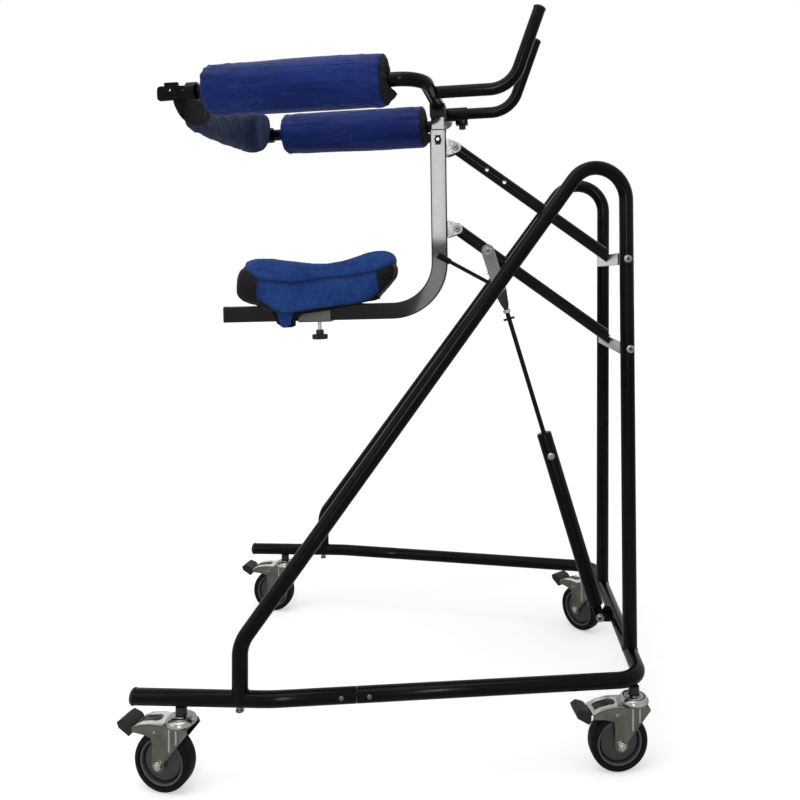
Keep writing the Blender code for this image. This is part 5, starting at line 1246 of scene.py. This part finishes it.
def strap_rings(stations, half_thick, sides=20):
    """Pillow-shaped cross-sections along the strap."""
    middles = [Vector((x, y, 0)) for x, y, _, _ in stations]
    rings = []
    for index, (middle, (_, _, top, bottom)) in enumerate(zip(middles, stations)):
        along = middles[min(len(middles) - 1, index + 1)] - middles[max(0, index - 1)]
        aside = along.normalized().cross(Vector((0, 0, 1)))
        end = min(index, len(stations) - 1 - index)
        thick = half_thick * (0.55, 0.85, 1.0)[min(end, 2)]
        ring = []
        for step in range(sides):
            turn = tau * (step + 0.5) / sides
            upright = copysign(abs(sin(turn)) ** 0.75, sin(turn))
            lean = copysign(abs(cos(turn)) ** 0.8, cos(turn))
            height = (top + bottom) / 2 + (top - bottom) / 2 * upright
            ring.append(middle + aside * lean * thick + Vector((0, 0, height)))
        rings.append(ring)
    return rings


def back_strap():
    """The padded strap and the black webbing that ties it to the right bar."""
    shape = subdivided(lofted(strap_rings(STRAP_STATIONS, STRAP_HALF_THICK)))
    shape = puffed(shape, lambda point: point.y < -0.182, 0.003, 0.004, 3.0, 0.05)
    for vert in shape.verts:
        x, y, z = vert.co * 24
        ridge = crest(Vector((x * 1.5, y * 0.8 + z * 0.9, z * 0.6 - y * 0.5)), 5)
        vert.co += vert.normal * (0.0012 * ridge + 0.001 * noise.noise(vert.co * 31))
    look = ("blue_cover", "strap_cover")
    strap = dress("waist_strap", shape, "extension_right", look, "back_strap", HEAD, sharp=180)
    shape = subdivided(lofted(strap_rings(WEBBING_STATIONS, 0.0013, 16)), 2)
    dress("strap_webbing", shape, "extension_right", ("blue_cover", "webbing"), place=HEAD, sharp=60)


# Strut, lever and tie rod


def lever():
    body = soften(solid_of("lever"), 0.0008)
    plates_length = 0.096
    cut = SHIFT @ (LEVER_TOP + plates_length * LEVER_DIRECTION)
    slant = (LEVER_DIRECTION + Vector((0.5, 0, 0))).normalized()
    foot = halved(body.copy(), cut, slant)
    body = halved(body, cut, -slant)
    dress("lever_plates", body, "lever", ("lever_steel", "lever_gray"), "lever", IN_PLACE, even=True)
    aside = Vector((-LEVER_DIRECTION.z, 0, LEVER_DIRECTION.x))
    for vert in foot.verts:
        past = max(0, (vert.co - cut).dot(LEVER_DIRECTION))
        vert.co -= aside * (vert.co - cut).dot(aside) * min(0.45, past * 14)
    dress("lever_foot", foot, "lever", ("lever_steel", "pedal_plastic"), place=IN_PLACE, even=True)
    middle = LEVER_TOP + 0.045 * LEVER_DIRECTION
    dress("lever_tab", rod(middle - 0.01 * aside, middle - 0.016 * aside, 0.0045), "lever", BRIGHT)
    pivot_bolt("lever_pivot_bolt", "lever", LEVER_TOP, 0.0165 + GAP, "lever_bolt")
    heading = (LEVER_TIE - TIE_REAR).normalized()
    shank = round_tube([TIE_REAR + 0.02 * heading, LEVER_TIE - 0.004 * heading], 0.0042, 24)
    sleeve = rod(TIE_REAR - 0.0065 * heading, TIE_REAR + 0.024 * heading, 0.0065, 28, 0.001)
    stub = rod(TIE_REAR, TIE_REAR + across(0.014), 0.0045)
    eye = carved(pin(LEVER_TIE, 0.0045, 0.0072, 28, 0.0008), pin(LEVER_TIE, 0.02, 0.0037, 20, 0))
    dress("tie_rod_bar", join(shank, sleeve, stub, eye), "tie_rod", PAINT, "tie_rod", even=True)


def strut_point(distance, side=0.0):
    return SPRING_FOOT + distance * SPRING_DIRECTION + across(side)


def strut():
    place = facing(SPRING_FOOT, SPRING_DIRECTION)
    radius, start, end = SPRING_TUBE_RADIUS, SPRING_TUBE_START, SPRING_TUBE_END
    profile = [(0, start), (radius - 0.0015, start), (radius, start + 0.0015), (radius, end - 0.003)]
    profile += [(radius - 0.0008, end - 0.0012), (radius - 0.003, end), (0.0058, end)]
    profile += [(0.0058, end - 0.012), (0, end - 0.012)]
    seat = strut_point(start + 0.0025)
    outline = link_outline((seat.x, seat.z), (SPRING_FOOT.x, SPRING_FOOT.z), 0.01)
    cheeks = [plate(outline, low, low + 0.004, 0.0008) for low in (-0.0075, 0.0035)]
    dress("strut_tube", join(turned(profile, 40, place), *cheeks), "spring_tube", PAINT, "spring_tube")
    ring = washer(SPRING_FOOT - across(0.0078), (0, -1, 0), 0.0085, 0.0012)
    head = socket_head(SPRING_FOOT - across(0.009), (0, -1, 0), 0.0065, 0.0035)
    nut = hex_nut(SPRING_FOOT + across(0.008), (0, 1, 0), 0.007, 0.004)
    dress("strut_foot_bolt", join(ring, head, nut), "base", BRIGHT)
    screw = cross_head(strut_point(STRUT_SCREW, -radius + 0.0004), (0, -1, 0), 0.0075, 0.002)
    dress("strut_screw", screw, "spring_tube", BRIGHT)
    piston_low, piston_high = end - 0.064, end - 0.05
    shaft = rod(strut_point(piston_high), strut_point(SPRING_SPAN), 0.005)
    cross = rod(strut_point(SPRING_SPAN, -0.0125), strut_point(SPRING_SPAN, 0.0125), 0.0055)
    piston = rod(strut_point(piston_low), strut_point(piston_high), 0.0132, 32)
    sideways = 0.0125 * Vector((SPRING_DIRECTION.z, 0, -SPRING_DIRECTION.x))
    middle = strut_point(SPRING_SPAN - 0.033)
    shaft = join(shaft, cross, piston, rod(middle - sideways, middle + sideways, 0.0026))
    dress("strut_rod", shaft, "spring_rod", PAINT, "spring_rod")
    profile = [(0.0052, -0.004), (0.0072, -0.004), (0.008, -0.003)]
    profile += [(radius, -height) for radius, height in reversed(profile)] + profile[:1]
    collar = turned(profile, 32, facing(strut_point(SPRING_SPAN - 0.0155), SPRING_DIRECTION))
    dress("strut_rod_collar", collar, "spring_rod", BRIGHT)
    wire, turns, sides = 0.00175, 15, 20
    steps = turns * sides
    low = start + 0.006 + wire + GAP
    high = piston_low - wire - GAP
    coil_radius = radius - 0.002 - 0.0008 - wire
    points = []
    for index in range(steps + 1):
        turn = tau * index / sides
        along = low + (high - low) * index / steps
        points.append(place @ Vector((coil_radius * cos(turn), coil_radius * sin(turn), along)))
    spring = dress("strut_coil", round_tube(points, wire, 10), "spring_tube", BRIGHT, "spring")
    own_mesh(spring)


# Seat


SLEEVE_X = 0.206
SLEEVE_LENGTH = 0.071
SLEEVE_HALF = COLUMN_HALF + 0.003
SEAT_KNOB_X = 0.249
SADDLE_REAR_X = 0.074
SADDLE_LENGTH = 0.35
SADDLE_HALF_WIDTH = 0.1
SADDLE_STATIONS = (
    # share of the length, crown, half width, lower edge,
    # then how far the skin moves along: at the crown, at the lower edge, and the depth between them
    (0.00, 0.084, 0.58, 0.019, 0.019, 0.017, 0.84),
    (0.03, 0.103, 0.74, 0.015, 0.011, 0.014, 0.84),
    (0.10, 0.108, 0.88, 0.008, 0.002, 0.006, 0.80),
    (0.24, 0.102, 0.97, -0.012, 0.000, 0.000, 0.50),
    (0.38, 0.090, 0.95, -0.019, 0.000, 0.000, 0.50),
    (0.52, 0.085, 0.79, -0.008, 0.000, 0.000, 0.50),
    (0.66, 0.091, 0.65, -0.002, 0.000, 0.000, 0.50),
    (0.78, 0.109, 0.62, 0.002, 0.000, -0.006, 0.40),
    (0.90, 0.118, 0.62, 0.005, 0.000, -0.018, 0.40),
    (0.97, 0.110, 0.56, 0.010, 0.000, -0.036, 0.50),
    (1.00, 0.086, 0.44, 0.018, -0.006, -0.050, 0.54),
)
# The saddle's seams seen from the side: (x, height)
SEAM_RIDGE = (
    (0.060, 0.930), (0.080, 0.921), (0.100, 0.913), (0.138, 0.888), (0.160, 0.885), (0.216, 0.8815),
    (0.268, 0.891), (0.326, 0.896), (0.384, 0.9065), (0.423, 0.924), (0.445, 0.932),
)
SEAM_LOW = (
    (0.136, 0.8475), (0.155, 0.8355), (0.173, 0.8215), (0.195, 0.8145), (0.214, 0.8200), (0.246, 0.8245),
    (0.307, 0.8330), (0.350, 0.8390), (0.372, 0.8500), (0.383, 0.8610), (0.391, 0.8800),
)
SEAM_REAR_X = 0.136


def saddle_ring(share, top, width, edge, upper, lower, turn):
    """One cross-section of the saddle, from the crown round the right side to the rail and back."""
    x = SADDLE_REAR_X + SADDLE_LENGTH * share
    base_height = seat_rail_height(x)
    half = SADDLE_HALF_WIDTH * width
    crown = base_height + COLUMN_HALF + top
    low = base_height + COLUMN_HALF + edge
    inner = SLEEVE_HALF + 0.006
    floor = max(base_height + SLEEVE_HALF + 0.0005, low)
    profile = [(0, crown), (half * 0.45, crown - 0.004), (half * 0.82, crown - 0.02)]
    profile += [(half, (crown + low) / 2 + 0.006), (half * 0.96, low + 0.01), (half * 0.86, low)]
    profile += [(max(inner, half * 0.62), low + 0.002), (inner, floor + 0.005), (0, floor)]
    right = []
    for y, z in profile:
        depth = (crown - z) / (crown - low)
        along = upper * max(0, 1 - depth / turn) + lower * max(0, (depth - turn) / (1 - turn))
        right.append(Vector((x + along, -y, z)))
    return right + [Vector((point.x, -point.y, point.z)) for point in right[1:-1]][::-1]


def seat():
    start = seat_rail_point(SLEEVE_X)
    sleeve, bore = [
        swept([start + out * SEAT_RAIL_HEADING for out in reach], square_section(half, corner))
        for reach, half, corner in (
            ((0, SLEEVE_LENGTH), SLEEVE_HALF, 0.0035),
            ((-0.01, SLEEVE_LENGTH + 0.01), COLUMN_HALF + 0.0004, 0.0028),
        )
    ]
    steel = ("black_paint", "sleeve_steel")
    dress("seat_sleeve_tube", carved(sleeve, bore), "seat", steel, "seat_sleeve", even=True)
    down = Vector((sin(SEAT_RAIL_RISE), 0, -cos(SEAT_RAIL_RISE)))
    place = facing(seat_rail_point(SEAT_KNOB_X), down)
    top, end = COLUMN_HALF + GAP, SLEEVE_HALF + 0.022
    stud = turned([(0, top), (0.004, top), (0.004, end), (0, end)], 24, place)
    dress("seat_knob_stud", stud, "seat_knob", BRIGHT)
    low = SLEEVE_HALF + 0.0175
    end = low + 0.0105
    hub = turned([(0, low), (0.0078, low), (0.0085, low + 0.001), (0.0085, end), (0, end)], 32, place)
    rim = moved(fluted(0.017, 0.011, 12), place @ Matrix.Translation((0, 0, low + 0.01)))
    dress("seat_knob_grip", join(hub, rim), "seat_knob", PLASTIC, "seat_knob")


def along_line(line, x):
    """The height of a polyline at x, level beyond its ends."""
    if x <= line[0][0]:
        return line[0][1]
    for (x0, z0), (x1, z1) in zip(line, line[1:]):
        if x <= x1:
            return z0 + (z1 - z0) * (x - x0) / (x1 - x0)
    return line[-1][1]


def spaced(start, step, count):
    return [start + step * index for index in range(count)]


def seam_front_x(height):
    return 0.382 + (0.907 - height) * 0.12


def black_panel(point):
    """How far a point of the saddle lies inside its black panels, below nought outside them."""
    below = along_line(SEAM_RIDGE, point.x) - point.z
    rear = min(below, SEAM_REAR_X - point.x)
    front = min(below, point.x - seam_front_x(point.z))
    under = along_line(SEAM_LOW, point.x) - point.z if point.x > SEAM_REAR_X else -1
    return max(rear, front, under)


def marked(shape, how, name="panel"):
    """Stores a number on every point, for the cover to be coloured by."""
    layer = shape.verts.layers.float.new(name)
    for vert in shape.verts:
        vert[layer] = how(vert.co)
    return shape


def near(distance, width):
    """One at nought, falling off to both sides."""
    return exp(-((distance / width) ** 2))


def above_ridge(point):
    return point.z - along_line(SEAM_RIDGE, point.x)


def saddle():
    """The cushion, its seams and the small flap that hangs beside the rail."""
    shape = subdivided(lofted([saddle_ring(*station) for station in SADDLE_STATIONS]), 3)
    shape = puffed(shape, lambda point: point.z < seat_rail_height(point.x) + 0.012, 0.004)
    shape.normal_update()
    for vert in shape.verts:
        ridge = above_ridge(vert.co)
        side = min(1, abs(vert.co.y) / 0.04)
        seam = near(ridge, 0.005) * side
        roll = near(ridge - 0.011, 0.007) * side
        edge = near(black_panel(vert.co), 0.0035) * side
        slow = 0.0016 * noise.noise(vert.co * 26) + 0.0007 * noise.noise(vert.co * 70)
        vert.co += vert.normal * (slow + 0.0016 * roll - 0.0026 * max(seam, 0.7 * edge))
    # painted shade: marks the band along the side seam that the cover darkens
    marked(shape, lambda point: near(above_ridge(point) + 0.002, 0.0055), "seam_shade")
    tree = BVHTree.FromBMesh(shape)
    ridge = [(x, along_line(SEAM_RIDGE, x)) for x in spaced(0.085, 0.006, 56)]
    low = [(x, along_line(SEAM_LOW, x) + 0.001) for x in spaced(0.138, 0.006, 41)]
    rear = [(SEAM_REAR_X, height) for height in spaced(0.849, 0.005, 9)]
    front = [(seam_front_x(height), height) for height in spaced(0.864, 0.005, 9)]
    cords = []
    for _, sign in SIDES:
        for line in (ridge, low, rear, front):
            start = [Vector((x, sign * 0.3, z)) for x, z in line]
            points = lying_on(tree, start, across(-sign))
            if len(points) > 3:
                cords.append(round_tube(points, 0.0012, 8))
    look = ("saddle_cloth", "saddle_cover")
    cushion = dress("saddle_cushion", marked(shape, black_panel), "seat", look, "saddle", sharp=180)
    dress("saddle_seams", join(*cords), "seat", ("saddle_cloth", "thread"), sharp=80)
    outline = [(0.156, 0.834), (0.165, 0.812), (0.171, 0.79), (0.176, 0.786), (0.188, 0.786)]
    outline += [(0.193, 0.79), (0.197, 0.812), (0.208, 0.83)]
    tongue = subdivided(plate(outline, -0.0372, -0.0338, 0.0012))
    for vert in tongue.verts:
        drop = max(0, 0.83 - vert.co.z)
        vert.co.y += 0.0025 * sin(drop * 90) + 0.0012 * noise.noise(vert.co * 60)
    dress("saddle_flap", marked(tongue, lambda point: -1), "seat", look, sharp=80)
    outline = [(0.098, 0.852), (0.122, 0.838), (0.15, 0.82), (0.163, 0.792), (0.176, 0.783)]
    outline += [(0.196, 0.784), (0.204, 0.788), (0.204, 0.802), (0.218, 0.813), (0.26, 0.819)]
    outline += [(0.315, 0.829), (0.36, 0.84), (0.388, 0.846)]
    outline += [(0.38, 0.86), (0.3, 0.85), (0.2, 0.84), (0.12, 0.86)]
    lining = plate(outline, -0.0325, -0.03, 0.0008)
    dress("saddle_lining", lining, "seat", ("saddle_cloth", "webbing"), sharp=80)


# Casters


def casters():
    for name, x, y, angle in CASTERS:
        place = SHIFT @ Matrix.Translation((x, y, 0)) @ Matrix.Rotation(angle, 4, "Z")
        caster_stem(name, place)
        caster_fork(name, place)
        caster_wheel(name, place)
        caster_pedal(name, place)


def caster_stem(name, place):
    top = RAIL_HEIGHT - TUBE_RADIUS - GAP
    collar = [(0, top), (0.0088, top), (0.0097, top - 0.001), (0.0097, 0.1345), (0.0085, 0.133), (0, 0.133)]
    dress(f"stem_collar_{name}", turned(collar), "base", PLASTIC, place=place)
    race = [(0, 0.1335), (0.011, 0.1335), (0.0118, 0.1328), (0.015, 0.1326), (0.0172, 0.1312)]
    race += [(0.0176, 0.1298), (0.0188, 0.1298), (0.0205, 0.1308), (0.0228, 0.1296), (0.025, 0.1272)]
    race += [(0.0265, 0.1243), (0.0265, 0.1224), (0.0258, 0.1218), (0, 0.1218)]
    dress(f"swivel_race_{name}", turned(race, 48), "base", BRIGHT, f"stem_{name}", place)


def caster_fork(name, place):
    body = f"fork_{name}"
    softened_solid(f"pressed_fork_{name}", body, body, FORK, 0.0011, 3)
    deck = [(-0.024, 0.1214), (-0.048, 0.1214), (-0.068, 0.1179), (-0.0832, 0.1114)]
    deck += [(-0.0835, 0.1122), (-0.0682, 0.1188), (-0.0482, 0.1224), (-0.024, 0.1224)]
    slot = block((-0.0775, -0.01, 0.1), (-0.047, 0.01, 0.13), 0)
    boss = rod((-0.0465, 0, 0.1), (-0.0465, 0, 0.13), 0.0105, 32, 0)
    top = carved(plate(deck, -0.0212, 0.0212, 0.0004), slot, boss)
    # the top plate in the paler zinc that paints it as lit
    dress(f"fork_deck_{name}", top, body, ("zinc", "lit_deck_zinc"), place=place)
    infill = [(-0.035, 0.1192), (-0.048, 0.1192), (-0.068, 0.1158), (-0.0795, 0.1112)]
    infill += [(-0.0795, 0.1126), (-0.068, 0.1174), (-0.048, 0.1209), (-0.035, 0.1209)]
    knob = rod((-0.0465, 0, 0.119), (-0.0465, 0, 0.1222), 0.0075, 24, 0.0008)
    insert = join(plate(infill, -0.0112, 0.0112, 0.0003), knob)
    dress(f"fork_insert_{name}", insert, body, PLASTIC, place=place)
    ribs = []
    for _, sign in SIDES:
        for along, low in ((-0.01, 0.078), (0.003, 0.092)):
            y = sign * 0.0214
            ribs.append(rod((along, y, low), (along, y, 0.1185), 0.002, 16, 0.0015))
        ribs.append(rod((-0.039, sign * 0.021, 0.109), (-0.039, sign * 0.0228, 0.109), 0.0022, 16))
    # painted highlight: the ribs belong to the pressed fork but take the paler clevis zinc, so they show as
    # bright bars
    dress(f"lit_fork_ribs_{name}", join(*ribs), body, CLEVIS, place=place)
    middle = Vector((-CASTER_TRAIL, 0, WHEEL_RADIUS))
    nuts = [hex_nut(middle + across(sign * 0.0223), (0, sign, 0), 0.0078, 0.004) for _, sign in SIDES]
    dress(f"axle_bolt_{name}", join(pin(middle, 0.0225, 0.004), *nuts), body, BRIGHT, f"axle_{name}", place)


def caster_wheel(name, place):
    body = f"wheel_{name}"
    hub = place @ Matrix.Translation((-CASTER_TRAIL, 0, WHEEL_RADIUS)) @ Matrix.Rotation(pi / 2, 4, "X")
    disc = [(0.0044, 0.0165), (0.0115, 0.0165), (0.0122, 0.0158), (0.0126, 0.012), (0.015, 0.0108)]
    disc += [(0.03, 0.0092), (0.0335, 0.0088), (0.0346, 0.008), (0.035, 0.0062)]
    look = ("wheel_plastic", "wheel_disc")
    dress(f"wheel_disc_{name}", turned(mirrored(disc), 64), body, look, body, hub)
    groove = turned(mirrored([(0.0344, 0.0066), (0.0384, 0.0066)]), 48)
    dress(f"wheel_groove_{name}", groove, body, ("tyre_rubber", "tyre"), place=hub)
    ring = [(0.0375, 0.006), (0.0378, 0.0118), (0.0386, 0.0128), (0.0412, 0.013), (0.0418, 0.0124)]
    ring = turned(mirrored(ring + [(0.0419, 0.006)]), 64)
    dress(f"wheel_ring_{name}", ring, body, ("wheel_plastic", "rim_ring"), place=hub)
    tread = [(0.042, 0.0122), (0.0426, 0.015), (0.044, 0.016), (0.047, 0.0158), (0.05, 0.0148)]
    tread += [(0.052, 0.0128), (0.0531, 0.01), (0.05345, 0.006), (0.0535, 0.002)]
    tyre = turned(mirrored(tread), 72)
    dress(f"tyre_band_{name}", tyre, body, ("tyre_rubber", "tyre"), f"tyre_{name}", hub)


def caster_pedal(name, place):
    """The pedal, its tread drawn in a little from where the arms end."""
    pedal = moved(solid_of(f"pedal_{name}"), place.inverted())
    arm_end, middle = -0.0855, 0.108
    for vert in pedal.verts:
        if vert.co.x < arm_end:
            vert.co.x = arm_end + (vert.co.x - arm_end) * 0.8
            vert.co.y *= 0.86
            vert.co.z = middle + (vert.co.z - middle) * 0.8
    look = ("black_plastic", "pedal_plastic")
    pedal = soften(pedal, 0.002, 3)
    dress(f"brake_pedal_{name}", pedal, f"pedal_{name}", look, f"pedal_{name}", place, even=True)


# Stage


def stage():
    """A pale floor, soft light and the photograph's camera."""
    white = (1, 1, 1, 1)
    shape = bmesh.new()
    bmesh.ops.create_grid(shape, x_segments=1, y_segments=1, size=40)
    floor = as_object(shape, "floor")
    paper = Finish("pale_floor", Base_Color=(0.86, 0.86, 0.86, 1), Roughness=0.9, Emission_Color=white)
    paper.shader.inputs["Specular IOR Level"].default_value = 0.1
    far = paper.nodes.new("ShaderNodeVectorMath")
    far.operation = "LENGTH"
    paper.link(paper.place, far.inputs[0])
    whiter = paper.spread(far.outputs["Value"], 0.8, 5.0, 0.42, 0.62)
    seen = paper.nodes.new("ShaderNodeLightPath").outputs["Is Camera Ray"]
    paper.link(paper.maths("MULTIPLY", seen, whiter), paper.shader.inputs["Emission Strength"])
    floor.data.materials.append(paper.material)

    scene = bpy.context.scene
    world = scene.world = bpy.data.worlds.new("pale_room")
    world.use_nodes = True
    sky = Nodes(world.node_tree)
    background = sky.nodes["Background"]
    background.inputs["Color"].default_value = white
    rays = sky.nodes.new("ShaderNodeLightPath").outputs
    seen = sky.maths("MAXIMUM", rays["Is Camera Ray"], rays["Is Glossy Ray"])
    seen = sky.maths("MAXIMUM", seen, rays["Is Transmission Ray"])
    sky.link(sky.spread(seen, 0, 1, 0.52, 1.0), background.inputs["Strength"])

    strip_x = -0.085
    lamp("strip_front", (strip_x, -3.2, 1.76), (strip_x, 0, 1.36), (0.22, 1.28), 22)
    lamp("strip_low", (strip_x, -3.2, 0.66), (strip_x, 0, 0.66), (0.22, 0.7), 6)
    lamp("soft_top", (-0.6, -0.8, 3.2), (0, 0, 0.6), (2.2, 2.2), 2.0)
    lamp("soft_left", (-2.6, -1.6, 2.0), (0, 0, 0.8), (1.6, 1.6), 1.2)

    camera = bpy.data.cameras.new("photo_camera")
    camera.sensor_width = 36
    camera.lens = camera.sensor_width * FOCAL_LENGTH / PHOTO_SIZE
    camera.shift_x = (PHOTO_SIZE / 2 - AXIS_COLUMN) / PHOTO_SIZE
    camera.shift_y = (AXIS_ROW - PHOTO_SIZE / 2) / PHOTO_SIZE
    camera.clip_start = 0.01
    camera.clip_end = 200
    eye = bpy.data.objects.new("photo_camera", camera)
    x, y, height = CAMERA_PLACE
    eye.location = (x - FRAME_MIDDLE_X, y, height)
    eye.rotation_euler = (pi / 2, 0, CAMERA_TURN)
    scene.collection.objects.link(eye)
    scene.camera = eye
    scene.view_settings.view_transform = "Standard"


def lamp(name, place, target, size, radiance):
    """A flat soft light of a given brightness per area, turned to a target."""
    light = bpy.data.lights.new(name, "AREA")
    light.shape = "RECTANGLE"
    light.size, light.size_y = size
    light.energy = radiance * size[0] * size[1] * pi
    item = bpy.data.objects.new(name, light)
    item.location = place
    item.rotation_euler = (Vector(target) - Vector(place)).to_track_quat("-Z", "Y").to_euler()
    bpy.context.scene.collection.objects.link(item)


base()
cross_bolts()
arms()
column()
mast()
trunk_ring()
left_handle()
bar_extensions()
trunk_pads()
back_strap()
lever()
strut()
seat()
saddle()
casters()
stage()
